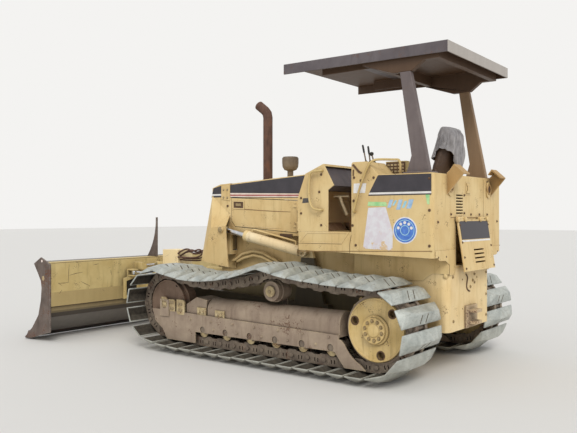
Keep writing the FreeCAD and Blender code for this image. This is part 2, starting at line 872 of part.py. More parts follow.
def side_tank():
    tank = side_profile(tank_outline, tank_inner, body_half)
    corner = [edge for edge in tank.Edges if abs(edge.CenterOfMass.x - body_half) < 1
              and abs(edge.CenterOfMass.y - axle_y - body_rear) < 1]
    tank = tank.makeFillet(35, corner)
    under = side_profile(side_plate_line, case_half, case_half + side_plate)
    post_base = box(tank_inner, case_half, -body_rear, case_front, case_top, tank_bottom + 10)
    return joined([tank, under, post_base])


save("fuel_tank_left", [side_tank()])
save("side_box_right", [mirrored(side_tank())])

rear_wall = 30.0
hatch_top = 1262.0
hatch_bottom = 828.0
hatch_left = 295.0
hatch_right = -345.0
hatch_thickness = 14.0
hatch_ajar = 9.0
skirt_top = 1010.0
skirt_bottom = 810.0
# Half of the rear skirt's outline, as (x, z) pairs from the hatch outwards and back
skirt_line = [(0, skirt_top), (656, skirt_top), (656, 957), (621, 957), (586, 933), (479, 928),
              (405, 892), (405, skirt_bottom), (0, skirt_bottom)]
louvre_rows = 7
louvre_pitch = 24.0
hatch_hinges = (-220, 190)
hatch_knuckle = 30.0
hatch_hinge_ahead = -body_rear - hatch_thickness / 2 - 6
hatch_hinge_height = hatch_top


def rear_body_panel():
    wall = box(-tank_inner, tank_inner, -body_rear, -body_rear + rear_wall, case_top, tank_top)
    wall = wall.cut(box(hatch_right + 20, hatch_left - 20, -body_rear - 1, -body_rear + rear_wall + 1,
                        case_top + 25, hatch_top - 20))
    for index in range(louvre_rows):
        z = 1294 + index * louvre_pitch
        wall = wall.cut(box(135, 273, -body_rear - 1, -body_rear + rear_wall + 1, z, z + 11))
    deck = box(-tank_inner, tank_inner, -body_rear + rear_wall, -140, tank_top - 20, tank_top)
    front = box(-tank_inner, tank_inner, -160, -140, floor_top, tank_top)
    pieces = [wall, deck, front]
    for side, edge in ((1, hatch_left), (-1, hatch_right)):
        line = [(side * x, z) for x, z in skirt_line]
        line[0] = (edge + side * 8, skirt_top)
        line[-1] = (edge + side * 8, skirt_bottom)
        pieces.append(rear_profile(line, -body_rear - side_plate, -body_rear))
    for x in hatch_hinges:
        for low in (x - hatch_knuckle - 31 - running_gap, x + hatch_knuckle + running_gap):
            pieces.append(cross_rod(9, low, low + 31, hatch_hinge_ahead, hatch_hinge_height))
            pieces.append(box(low, low + 31, hatch_hinge_ahead, -body_rear, hatch_hinge_height - 9,
                              hatch_hinge_height + 9))
    return joined(pieces)


save("rear_body_panel", [rear_body_panel()])

def rear_hatch():
    front = -body_rear - 6
    plate = box(hatch_right, hatch_left, front - hatch_thickness, front, hatch_bottom, hatch_top - 14)
    for index in range(4):
        z = hatch_bottom + 60 + index * 34
        plate = plate.cut(box(-150, 60, front - hatch_thickness - 1, front + 1, z, z + 12))
    knuckles = []
    for x in hatch_hinges:
        knuckles.append(cross_rod(9, x - hatch_knuckle, x + hatch_knuckle, hatch_hinge_ahead,
                                  hatch_hinge_height))
        knuckles.append(box(x - hatch_knuckle, x + hatch_knuckle, front - hatch_thickness, front,
                            hatch_top - 18, hatch_top))
    plate = joined([plate] + knuckles)
    plate.rotate(at(0, hatch_hinge_ahead, hatch_hinge_height), FreeCAD.Vector(1, 0, 0), hatch_ajar)
    return plate


save("rear_hatch", [rear_hatch()])

visor_inner = 330.0
visor_outer = 450.0
visor_line = [(-body_rear, 1441), (-body_rear, 1614), (-403, 1635), (-436, 1680), (-visor_reach, 1607),
              (-502, 1585)]
lid_line = [(-403, 1635), (-436, 1680), (-visor_reach, 1607), (-511, 1599), (-437, 1665), (-410, 1630)]
lamp_x = 394.0
lamp_height = 1505.0
lamp_half = 40.0
lamp_rise = 32.0
lamp_proud = 12.0


def lamp_guard():
    gusset = side_profile(visor_line, visor_outer - panel, visor_outer)
    return joined([gusset, side_profile(lid_line, visor_inner, visor_outer)])


def rear_lamp():
    rear = -body_rear - lamp_proud
    low, high = lamp_height - lamp_rise, lamp_height + lamp_rise
    near, far = lamp_x - lamp_half, lamp_x + lamp_half
    corner = [at(near, rear, low), at(near, rear, high), at(far, rear, high), at(far, rear, low)]
    edges = [Part.LineSegment(corner[0], corner[1]).toShape(),
             Part.Arc(corner[1], at(lamp_x, rear, high + lamp_half), corner[2]).toShape(),
             Part.LineSegment(corner[2], corner[3]).toShape(),
             Part.Arc(corner[3], at(lamp_x, rear, low - lamp_half), corner[0]).toShape()]
    return Part.Face(Part.Wire(edges)).extrude(FreeCAD.Vector(0, -lamp_proud, 0))


save("lamp_guards", both_sides([lamp_guard()]))
save("rear_lamps", both_sides([rear_lamp()]))

lever_table = [(500, 320, 170, 30), (500, 280, 150, 20)]  # x, ahead, height, lean


def control_levers():
    levers = []
    for x, ahead, height, lean in lever_table:
        foot = post(20, x, ahead, console_top, console_top + 12)
        stem = rod(7, at(x, ahead, console_top + 6), at(x, ahead + lean, console_top + height))
        knob = rod(14, at(x, ahead + lean, console_top + height),
                   at(x, ahead + lean * 1.2, console_top + height + 34))
        levers.append(joined([foot, stem, knob]))
    return levers


save("control_levers", control_levers())
save("console_grille", [box(340, tank_inner, 0, 190, tank_top - 40, console_top + 15)])


def grab_handles():
    out = body_half + 34
    cowl_rail = bent_tube([at(body_half, 625, 1656), at(out, 625, 1656), at(out, 735, 1650),
                           at(out, 747, 1440),
                           at(out, 715, 1340), at(out, 625, 1327), at(body_half, 625, 1327)], 11, 14)
    tank_rail = bent_tube([at(body_half, 303, tank_top - 296), at(out, 303, tank_top - 296),
                           at(out, 250, tank_top - 125),
                           at(out - 10, 165, tank_top + 85),
                           at(out - 30, 110, tank_top + 117), at(570, -40, tank_top + 117),
                           at(570, -94.5, tank_top + 117)], 11, 14)
    return [cowl_rail, tank_rail]


save("grab_handles", both_sides(grab_handles()))

# Seat
seat_half = 235.0


def seat_base():
    pedestal = box(-180, 180, -40, 300, floor_top, 1330)
    plate = box(-seat_half, seat_half, -70, 360, 1330, 1350)
    return joined([pedestal, plate])


save("seat_base", [seat_base()])
save("seat_cushion", [box(-seat_half, seat_half, -40, 370, 1350.3, 1470)])
save("seat_backrest", [side_profile([(-60, 1480), (-130, 2050), (-215, 2040), (-139.7, 1620),
                                     (-139.7, 1480)],
                                    -seat_half + 20, seat_half - 20)])

# Canopy
post_outer = 595.0
post_thickness = 50.0
post_bend = tank_top + 145
gusset_low = roof_top - 207
brace_bottom = roof_top - 132
front_brace_bottom = roof_top - 117
gusset_tip = roof_top - 112
stiffener_bottom = roof_top - 105
brace_thickness = 50.0
stiffener_x = 440.0


def canopy_post():
    leg = side_profile([(-304, tank_top), (-100, tank_top), (-146, post_bend), (-44, gusset_low),
                        (-138, gusset_low)],
                       post_outer - post_thickness, post_outer)
    foot = box(post_outer - post_thickness - 40, post_outer + 40, -330, -90, tank_top, tank_top + 16)
    return joined([leg, foot])


save("canopy_posts", both_sides([canopy_post()]))


def roof_line(ahead):
    return roof_top - roof_fall * (roof_front - ahead) / (roof_front + roof_rear)


def hung(low_points, x0, x1):
    # A piece that reaches from its low points up to the roof's sheet.
    rear, front = low_points[-1][0], low_points[0][0]
    top = [(rear, roof_line(rear) - roof_sheet), (front, roof_line(front) - roof_sheet)]
    return side_profile(low_points + top, x0, x1)


def canopy_roof():
    # The sheet has a rim at its sides and rear, and none in front.
    slab = side_profile([(-roof_rear, roof_top - roof_fall - roof_rim), (-roof_rear, roof_top - roof_fall),
                         (roof_front, roof_top), (roof_front, roof_top - roof_rim)], -roof_half, roof_half)
    past_front = roof_front + 5
    hollow = side_profile([(-roof_rear + roof_sheet, roof_top - roof_fall - roof_rim - 5),
                           (-roof_rear + roof_sheet, roof_line(-roof_rear + roof_sheet) - roof_sheet),
                           (past_front, roof_line(past_front) - roof_sheet),
                           (past_front, roof_top - roof_rim - 5)],
                          -roof_half + roof_sheet, roof_half - roof_sheet)
    pieces = [slab.cut(hollow)]
    gusset = [(300, gusset_tip), (20, gusset_low), (-150, gusset_low), (-250, brace_bottom),
              (-380, brace_bottom)]
    for side in (-1, 1):
        low, high = sorted((side * (post_outer - post_thickness), side * post_outer))
        pieces.append(hung(gusset, low, high))
        low, high = sorted((side * stiffener_x, side * (stiffener_x + roof_sheet)))
        pieces.append(hung([(800, stiffener_bottom), (280, stiffener_bottom)], low, high))
    for front, low in ((-380 + brace_thickness, brace_bottom), (280, front_brace_bottom)):
        pieces.append(hung([(front, low), (front - brace_thickness, low)], -post_outer + 10,
                           post_outer - 10))
    return joined(pieces)


save("canopy_roof", [canopy_roof()])

# Exhaust stack and precleaner
exhaust_ahead = 1786.0
exhaust_radius = 48.0


def above_hood(shape):
    below = side_profile([(cowl_front, frame_top), (cowl_front, hood_line(cowl_front)),
                          (guard_rear, hood_line(guard_rear)), (guard_rear, frame_top)], -hood_half,
                          hood_half)
    return shape.cut(below)


def exhaust_stack():
    base = hood_line(exhaust_ahead) - 10
    pipe = bent_tube([at(0, exhaust_ahead, base), at(0, exhaust_ahead, 2330),
                      at(0, exhaust_ahead + 120, 2420)],
                     exhaust_radius, 90, 32)
    collar = post(exhaust_radius + 16, 0, exhaust_ahead, base, base + 50)
    return above_hood(joined([pipe, collar]))


save("exhaust_stack", [exhaust_stack()])

cleaner_ahead = 1497.0
# radius and height above the hood
cleaner_profile = [(0, -10), (30, -10), (30, 100), (60, 110), (78, 140), (82, 180), (82, 225), (72, 240),
                   (0, 245)]


def precleaner():
    base = hood_line(cleaner_ahead)
    half = closed_face([at(radius, cleaner_ahead, base + rise) for radius, rise in cleaner_profile])
    return above_hood(half.revolve(at(0, cleaner_ahead, base), FreeCAD.Vector(0, 0, 1), 360))


save("precleaner", [precleaner()])


pipe_x = 385.0
# (ahead, z) pairs along the two pipes that arch over the blade frame's arm, outer one first
pipe_lines = [(guard_waist_half, [(1926, 832), (1880, 848), (1796, 905), (1651, 938), (1531, 922),
                                  (1359, 852)]),
              (frame_half, [(1872, 824), (1775, 868), (1650, 898), (1540, 884), (1385, 825)])]


def side_pipes():
    pipes = []
    for start_x, line in pipe_lines:
        points = [at(start_x, *line[0])] + [at(pipe_x, *place) for place in line]
        points.append(at(frame_half, *line[-1]))
        pipes.append(bent_tube(points, 14, 22))
    return pipes


save("hydraulic_pipes", both_sides(side_pipes()))

# Blade frame: two arms inside the tracks, a nose with a kingpin, and lift lugs
nose_half = 110.0
fork_low = 320.0
fork_high = 640.0
fork_plate = 40.0
kingpin_radius = 36.0
knuckle_radius = 72.0
tower_top = 898.0
tower_rear = 2990.0
tower_front = 3240.0
arm_front = 2780.0
nose_front = 3200.0
lug_plate = 32.0
lug_pin = 22.0
angle_x = 390.0
angle_base_ahead = 2500.0
angle_height = 650.0
angle_eye_x = 430.0
angle_eye_ahead = 3354.0
angle_radius = 38.0
angle_rod_radius = 18.0


def c_frame():
    arm_line = [(arm_pivot_ahead - 70, 350), (arm_pivot_ahead - 70, 490), (1200, 500), (arm_front, 560),
                (arm_front, 400), (1200, 340)]
    pieces = []
    for side in (-1, 1):
        low, high = sorted((side * arm_inner, side * arm_outer))
        pieces.append(side_profile(arm_line, low, high))
        low, high = sorted((side * (arm_outer - lug_plate), side * arm_outer))
        pieces.append(side_profile([(800, 480), (1130, 490), (1040, lug_height + 10),
                                    (lug_ahead + 22, lug_height + 42),
                                    (lug_ahead - 22, lug_height + 42), (930, lug_height)], low, high))
        low, high = sorted((side * (arm_outer - 1), side * (lift_x + eye_half_width + 10)))
        pieces.append(cross_rod(lug_pin, low, high, lug_ahead, lug_height))
        pieces.append(box(*sorted((side * arm_inner, side * arm_outer)), angle_base_ahead - 60,
                          angle_base_ahead + 60, 530, angle_height - angle_radius - 12))
        pieces.append(post(lug_pin + 3, side * angle_x, angle_base_ahead, 560,
                           angle_height - eye_half_width - 1))
        pieces.append(post(lug_pin, side * angle_x, angle_base_ahead, 560, angle_height + 30))
    yoke = [(arm_outer, arm_front), (arm_outer, arm_front + 80), (nose_half + 30, nose_front),
            (-nose_half - 30, nose_front),
            (-arm_outer, arm_front + 80), (-arm_outer, arm_front), (-arm_inner, arm_front),
            (-nose_half + 20, nose_front - 160),
            (nose_half - 20, nose_front - 160), (arm_inner, arm_front)]
    pieces.append(plan_profile(yoke, 400, 560))
    pieces.append(box(-nose_half, nose_half, 3100, 3230, fork_low, fork_high))
    for low in (fork_low, fork_high - fork_plate):
        pieces.append(box(-nose_half, nose_half, 3150, kingpin_ahead, low, low + fork_plate))
        pieces.append(post(nose_half, 0, kingpin_ahead - 20, low, low + fork_plate))
    pieces.append(box(-nose_half, nose_half, tower_rear, tower_front, 540, tower_top))
    pieces.append(post(kingpin_radius, 0, kingpin_ahead, fork_low, fork_high))
    whole = joined(pieces)
    for side in (-1, 1):
        low, high = sorted((side * (arm_inner - 1), side * (arm_outer + 1)))
        whole = whole.cut(cross_rod(trunnion_radius + running_gap, low, high, arm_pivot_ahead,
                                    arm_pivot_height))
    return whole


save("c_frame", [c_frame()])

carrier_plate_rear = 3402.0
carrier_plate_front = 3432.0
tilt_pin_radius = 40.0
tilt_pin_depth = 32.0
tilt_height = 720.0
tilt_x = 300.0
tilt_ahead = 3358.0
tilt_radius = 34.0
tilt_rod_radius = 18.0


def blade_carrier():
    knuckle = post(knuckle_radius, 0, kingpin_ahead, fork_low + fork_plate + swing_gap,
                   fork_high - fork_plate - swing_gap)
    web = box(-50, 50, kingpin_ahead, carrier_plate_rear, 380, 580)
    plate = box(-470, 470, carrier_plate_rear, carrier_plate_front, 380, 585)
    pieces = [knuckle, web, plate]
    for side in (-1, 1):
        low, high = sorted((side * (angle_eye_x - 28), side * (angle_eye_x + 40)))
        for base in (angle_height - eye_half_width - swing_gap - 14,
                     angle_height + eye_half_width + swing_gap):
            pieces.append(box(low, high, angle_eye_ahead - 36, carrier_plate_front, base, base + 14))
        pieces.append(box(low, high, carrier_plate_rear + 12, carrier_plate_front, 580, angle_height + 39))
    lug = box(-tilt_x - 40, -tilt_x + 40, carrier_plate_rear, carrier_plate_front, 580, tilt_height + 40)
    pieces.append(lug)
    pieces.append(rod(lug_pin, at(-tilt_x, carrier_plate_rear, tilt_height),
                      at(-tilt_x, tilt_ahead - 28, tilt_height)))
    pieces.append(rod(tilt_pin_radius, at(0, carrier_plate_front, tilt_pin_height),
                      at(0, blade_back + tilt_pin_depth - 4, tilt_pin_height)))
    whole = joined(pieces)
    return whole.cut(post(kingpin_radius + running_gap, 0, kingpin_ahead, fork_low, fork_high))


save("blade_carrier", [blade_carrier()])

# Blade
box_bottom = 358.0
step_depth = 16.0
step_bottom = 313.0
waist_ahead = 3598.0
waist_height = 532.0
end_plate = 16.0


def moldboard_edge():
    start = at(-blade_half + end_plate, 3735, blade_top)
    middle = at(-blade_half + end_plate, waist_ahead, waist_height - 60)
    end = at(-blade_half + end_plate, 3850, 80)
    return start, middle, end


def blade():
    start, middle, end = moldboard_edge()
    x = -blade_half + end_plate
    step = blade_back + step_depth
    back = [end, at(x, 3790, 62), at(x, step, step_bottom), at(x, step, box_bottom - 6),
            at(x, blade_back, box_bottom), at(x, blade_back, blade_top - 14),
            at(x, blade_back + 20, blade_top), start]
    edges = [Part.Arc(start, middle, end).toShape()]
    for one, two in zip(back, back[1:]):
        edges.append(Part.LineSegment(one, two).toShape())
    board = Part.Face(Part.Wire(edges)).extrude(FreeCAD.Vector(2 * (blade_half - end_plate), 0, 0))
    socket = rod(tilt_pin_radius + running_gap, at(0, blade_back - 1, tilt_pin_height),
                 at(0, blade_back + tilt_pin_depth, tilt_pin_height))
    board = board.cut(socket)
    lug_low = tilt_height - 40
    ears = []
    for front, rear in ((blade_back, tilt_ahead + 30), (tilt_ahead - 25, tilt_ahead - 39)):
        ears.append(box(tilt_x - 20, tilt_x + 50, rear, front, lug_low, tilt_height + 40))
    bridge = box(tilt_x + 38, tilt_x + 50, tilt_ahead - 39, blade_back, lug_low, tilt_height + 40)
    return joined([board, bridge] + ears)


save("blade", [blade()])


def cutting_edge():
    return side_profile([(3850, 80), (3865, 86), (blade_tip, edge_clearance + 10),
                         (blade_tip - 18, edge_clearance),
                         (3800, 62)], -blade_half + end_plate, blade_half - end_plate)


save("cutting_edge", [cutting_edge()])


def end_plate_shape():
    outline = [(blade_back - 4, 105), (blade_back - 4, 790), (3528, 822), (3616, 856), (3740, 787),
               (3670, 693), (3616, 614), (3604, 543), (3616, 420), (3661, 263), (3769, 129), (3862, 52),
               (blade_tip, edge_clearance + 8), (3890, edge_clearance), (3806, 11)]
    return side_profile(outline, blade_half - end_plate, blade_half)


save("blade_end_plates", both_sides([end_plate_shape()]))


def blade_fin():
    corner = [at(-12, 3460, blade_top), at(-12, 3460, 1264), at(-12, 3474, 1264), at(-12, 3620, blade_top)]
    edges = [Part.LineSegment(corner[0], corner[1]).toShape(),
             Part.LineSegment(corner[1], corner[2]).toShape(),
             Part.Arc(corner[2], at(-12, 3510, 1010), corner[3]).toShape(),
             Part.LineSegment(corner[3], corner[0]).toShape()]
    return Part.Face(Part.Wire(edges)).extrude(FreeCAD.Vector(24, 0, 0))


save("blade_fin", [blade_fin()])


# Hydraulic cylinders: a bored barrel with an eye at its base, and a rod with an eye at its tip
def cylinder_pair(base, tip, barrel_radius, rod_radius, pin_axis, eye, shares):
    bore_share, rod_share, barrel_share = shares
    length = base.distanceToPoint(tip)
    way = (tip - base).normalize()
    gland = base + way * (length * barrel_share)
    foot = base + way * (eye * 0.8)
    barrel = joined([rod(barrel_radius, foot, gland), rod(barrel_radius * 1.08, gland - way * 50, gland),
                     rod(eye, base - pin_axis * eye_half_width, base + pin_axis * eye_half_width)])
    barrel = barrel.cut(rod(rod_radius + 1, base + way * (length * bore_share), gland + way))
    barrel = barrel.cut(rod(lug_pin + running_gap, base - pin_axis * 60, base + pin_axis * 60))
    inner_end = base + way * (length * rod_share)
    stem = joined([rod(rod_radius, inner_end, tip - way * eye * 0.5),
                   rod(eye * 0.92, tip - pin_axis * eye_half_width, tip + pin_axis * eye_half_width)])
    return barrel, stem


x_axis = FreeCAD.Vector(1, 0, 0)
y_axis = FreeCAD.Vector(0, 1, 0)
z_axis = FreeCAD.Vector(0, 0, 1)
lift = cylinder_pair(at(lift_x, lug_ahead, lug_height), at(lift_x, eye_ahead, eye_height),
                     lift_barrel_radius,
                     lift_rod_radius, x_axis, eye_radius, (0.2, 0.42, 0.71))
save_sides("lift_barrel", [lift[0]])
save_sides("lift_rod", [lift[1]])
angle = cylinder_pair(at(angle_x, angle_base_ahead, angle_height),
                      at(angle_eye_x, angle_eye_ahead, angle_height),
                      angle_radius, angle_rod_radius, z_axis, 34, (0.14, 0.36, 0.62))
save_sides("angle_barrel", [angle[0]])
save_sides("angle_rod", [angle[1]])
tilt = cylinder_pair(at(-tilt_x, tilt_ahead, tilt_height), at(tilt_x, tilt_ahead, tilt_height), tilt_radius,
                     tilt_rod_radius, y_axis, 30, (0.2, 0.42, 0.68))
save("tilt_barrel", [tilt[0]])
save("tilt_rod", [tilt[1]])
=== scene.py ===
import math
import random
import bmesh
import bpy
from mathutils import Matrix, Vector, noise


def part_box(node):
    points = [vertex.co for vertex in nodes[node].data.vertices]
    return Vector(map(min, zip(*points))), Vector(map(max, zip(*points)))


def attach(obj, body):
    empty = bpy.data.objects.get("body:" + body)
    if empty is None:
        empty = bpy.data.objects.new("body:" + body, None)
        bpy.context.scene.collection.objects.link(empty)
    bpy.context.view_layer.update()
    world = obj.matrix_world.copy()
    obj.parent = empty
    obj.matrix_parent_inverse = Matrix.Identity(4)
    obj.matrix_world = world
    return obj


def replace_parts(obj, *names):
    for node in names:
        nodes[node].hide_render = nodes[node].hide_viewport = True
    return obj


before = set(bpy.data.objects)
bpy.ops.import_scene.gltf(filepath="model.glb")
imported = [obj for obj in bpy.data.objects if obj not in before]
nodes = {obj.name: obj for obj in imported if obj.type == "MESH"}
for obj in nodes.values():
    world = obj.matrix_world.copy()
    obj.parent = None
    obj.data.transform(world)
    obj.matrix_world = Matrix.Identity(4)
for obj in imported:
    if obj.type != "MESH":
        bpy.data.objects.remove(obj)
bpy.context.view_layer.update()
scene = bpy.context.scene
random.seed(11)
print("frame loaded")

axleY = 1696.0  # mm from the middle of the machine back to the sprocket axle
trackCenter = 780.0  # mm


def at(x, ahead, z):
    return Vector((x, axleY - ahead, z)) / 1000  # mm, ahead of the sprocket axle, to the frame's metres


def toLinear(code):
    parts = [int(code[i:i + 2], 16) / 255 for i in (1, 3, 5)]
    return (*(p / 12.92 if p <= 0.04045 else ((p + 0.055) / 1.055) ** 2.4 for p in parts), 1.0)


def perMetre(millimetres):
    return 1000 / millimetres


# The camera stands behind the left rear corner, at eye height
cameraLook = {"place": (5.4355, 4.3416, 1.2726), "turn": (90.0, 0.0, 127.47), "lens": 42.74}
cameraData = bpy.data.cameras.new("camera")
cameraData.lens = cameraLook["lens"]
cameraData.sensor_width = 36
camera = bpy.data.objects.new("camera", cameraData)
camera.location = cameraLook["place"]
camera.rotation_euler = [math.radians(a) for a in cameraLook["turn"]]
scene.collection.objects.link(camera)
scene.camera = camera


# Finishes
def addNode(tree, kind, inputs=None, links=None, **settings):
    node = tree.nodes.new("ShaderNode" + kind)
    for key, value in settings.items():
        setattr(node, key, value)
    for key, value in (inputs or {}).items():
        node.inputs[key].default_value = value
    for key, source in (links or {}).items():
        tree.links.new(source, node.inputs[key])
    return node


def newFinish(name, sockets):
    material = bpy.data.materials.new(name)
    material.use_nodes = True
    tree = material.node_tree
    shader = tree.nodes["Principled BSDF"]
    for key, value in sockets.items():
        shader.inputs[key].default_value = value
    return material, tree, shader


# A region of a piece in another colour, for another paint and for painted light and shade: a box in the piece's own
# millimetres, one low and high pair an axis
def overZone(tree, place, tone, zone, color):
    split = addNode(tree, "SeparateXYZ", {}, {0: place})
    inside = None
    for axis, (low, high) in enumerate(zone["box"]):
        within = {1: (low + high) / 2000, 2: (high - low) / 2000}
        part = addNode(tree, "Math", within, {0: split.outputs[axis]}, operation="COMPARE")
        if inside is not None:
            part = addNode(tree, "Math", {}, {0: inside.outputs[0], 1: part.outputs[0]}, operation="MULTIPLY")
        inside = part
    paint = addNode(tree, "Mix", {6: toLinear(zone["dark"]), 7: toLinear(zone["light"])}, {0: tone}, data_type="RGBA")
    return addNode(tree, "Mix", {}, {0: inside.outputs[0], 6: color, 7: paint.outputs[2]}, data_type="RGBA").outputs[2]


# Coats laid one over another, each a colour and the mask that says where it shows
def overlaid(tree, color, coats):
    for code, mask in coats:
        color = addNode(tree, "Mix", {7: toLinear(code)}, {0: mask.outputs[0], 6: color}, data_type="RGBA").outputs[2]
    return color


# A mask of the edges, from how far a bevel would turn the surface: the edges that rubbing has bared on the enamels, and
# on the grouser steel also a painted highlight
def edgeMask(tree, radius, limits):
    rounded = addNode(tree, "Bevel", {"Radius": radius / 1000}, samples=4)
    normal = addNode(tree, "NewGeometry").outputs["Normal"]
    bend = addNode(tree, "VectorMath", {}, {0: rounded.outputs[0], 1: normal}, operation="DOT_PRODUCT")
    return addNode(tree, "MapRange", limits, {"Value": bend.outputs["Value"]})


# Old machine enamel: a chalky faded coat with rain streaks, grime and painted shade in the corners (darker where
# ambient occlusion is low), stone chips and rubbed edges
def wornEnamel(name, look):
    material, tree, shader = newFinish(name, {"Specular IOR Level": 0.35, "Metallic": look.get("metallic", 0.0)})
    place = addNode(tree, "TexCoord").outputs["Object"]
    patches = addNode(tree, "TexNoise", {"Scale": perMetre(look["patch"]), "Detail": 5.0, "Roughness": 0.62},
                      {"Vector": place})
    fade = addNode(tree, "MapRange", {"From Min": 0.38, "From Max": 0.66}, {"Value": patches.outputs["Fac"]})
    coat = addNode(tree, "Mix", {6: toLinear(look["base"]), 7: toLinear(look["faded"])}, {0: fade.outputs[0]},
                   data_type="RGBA")
    stretch = addNode(tree, "Mapping", {"Scale": (1.0, 1.0, 0.13)}, {"Vector": place})
    streak = addNode(tree, "TexNoise", {"Scale": perMetre(look["streak"]), "Detail": 6.0, "Roughness": 0.65},
                     {"Vector": stretch.outputs[0]})
    runs = addNode(tree, "MapRange", {"From Min": 0.52, "From Max": 0.78, "To Max": look["streaks"]},
                   {"Value": streak.outputs["Fac"]})
    # Painted shade with grime: corners and crevices darken where ambient occlusion is low
    corner = addNode(tree, "AmbientOcclusion", {"Distance": 0.09}, samples=4)
    grimeAndShade = addNode(tree, "MapRange", {"From Min": 0.85, "From Max": 0.25, "To Max": look["corners"]},
                   {"Value": corner.outputs["AO"]})
    chip = addNode(tree, "TexNoise", {"Scale": perMetre(look["chip"]), "Detail": 3.0, "Roughness": 0.55},
                   {"Vector": place})
    where = addNode(tree, "TexNoise", {"Scale": perMetre(look["chip"] * 14), "Detail": 2.0}, {"Vector": place})
    both = addNode(tree, "Math", {}, {0: chip.outputs["Fac"], 1: where.outputs["Fac"]}, operation="MULTIPLY")
    chips = addNode(tree, "MapRange", {"From Min": look["chipLimit"], "From Max": look["chipLimit"] + 0.03},
                    {"Value": both.outputs[0]})
    edge = edgeMask(tree, look.get("rub", 7), {"From Min": 0.985, "From Max": 0.86})
    rub = addNode(tree, "Math", {}, {0: edge.outputs[0], 1: fade.outputs[0]}, operation="MULTIPLY")
    color = overlaid(tree, coat.outputs[2], ((look["grime"], runs), (look["grimeAndShade"], grimeAndShade), (look["rust"], chips),
                                             (look["bare"], rub)))
    for zone in look.get("zones", []):
        color = overZone(tree, place, streak.outputs["Fac"], zone, color)
    tree.links.new(color, shader.inputs["Base Color"])
    rough = addNode(tree, "MapRange", {"To Min": look["rough"], "To Max": look["rough"] + 0.22},
                    {"Value": streak.outputs["Fac"]})
    tree.links.new(rough.outputs[0], shader.inputs["Roughness"])
    dents = addNode(tree, "TexNoise", {"Scale": perMetre(160), "Detail": 2.0}, {"Vector": place})
    wave = addNode(tree, "Bump", {"Strength": look.get("dents", 0.25), "Distance": 0.01},
                   {"Height": dents.outputs["Fac"]})
    grain = addNode(tree, "Bump", {"Strength": look.get("grain", 0.2), "Distance": 0.001},
                    {"Height": chip.outputs["Fac"], "Normal": wave.outputs[0]})
    tree.links.new(grain.outputs[0], shader.inputs["Normal"])
    return material


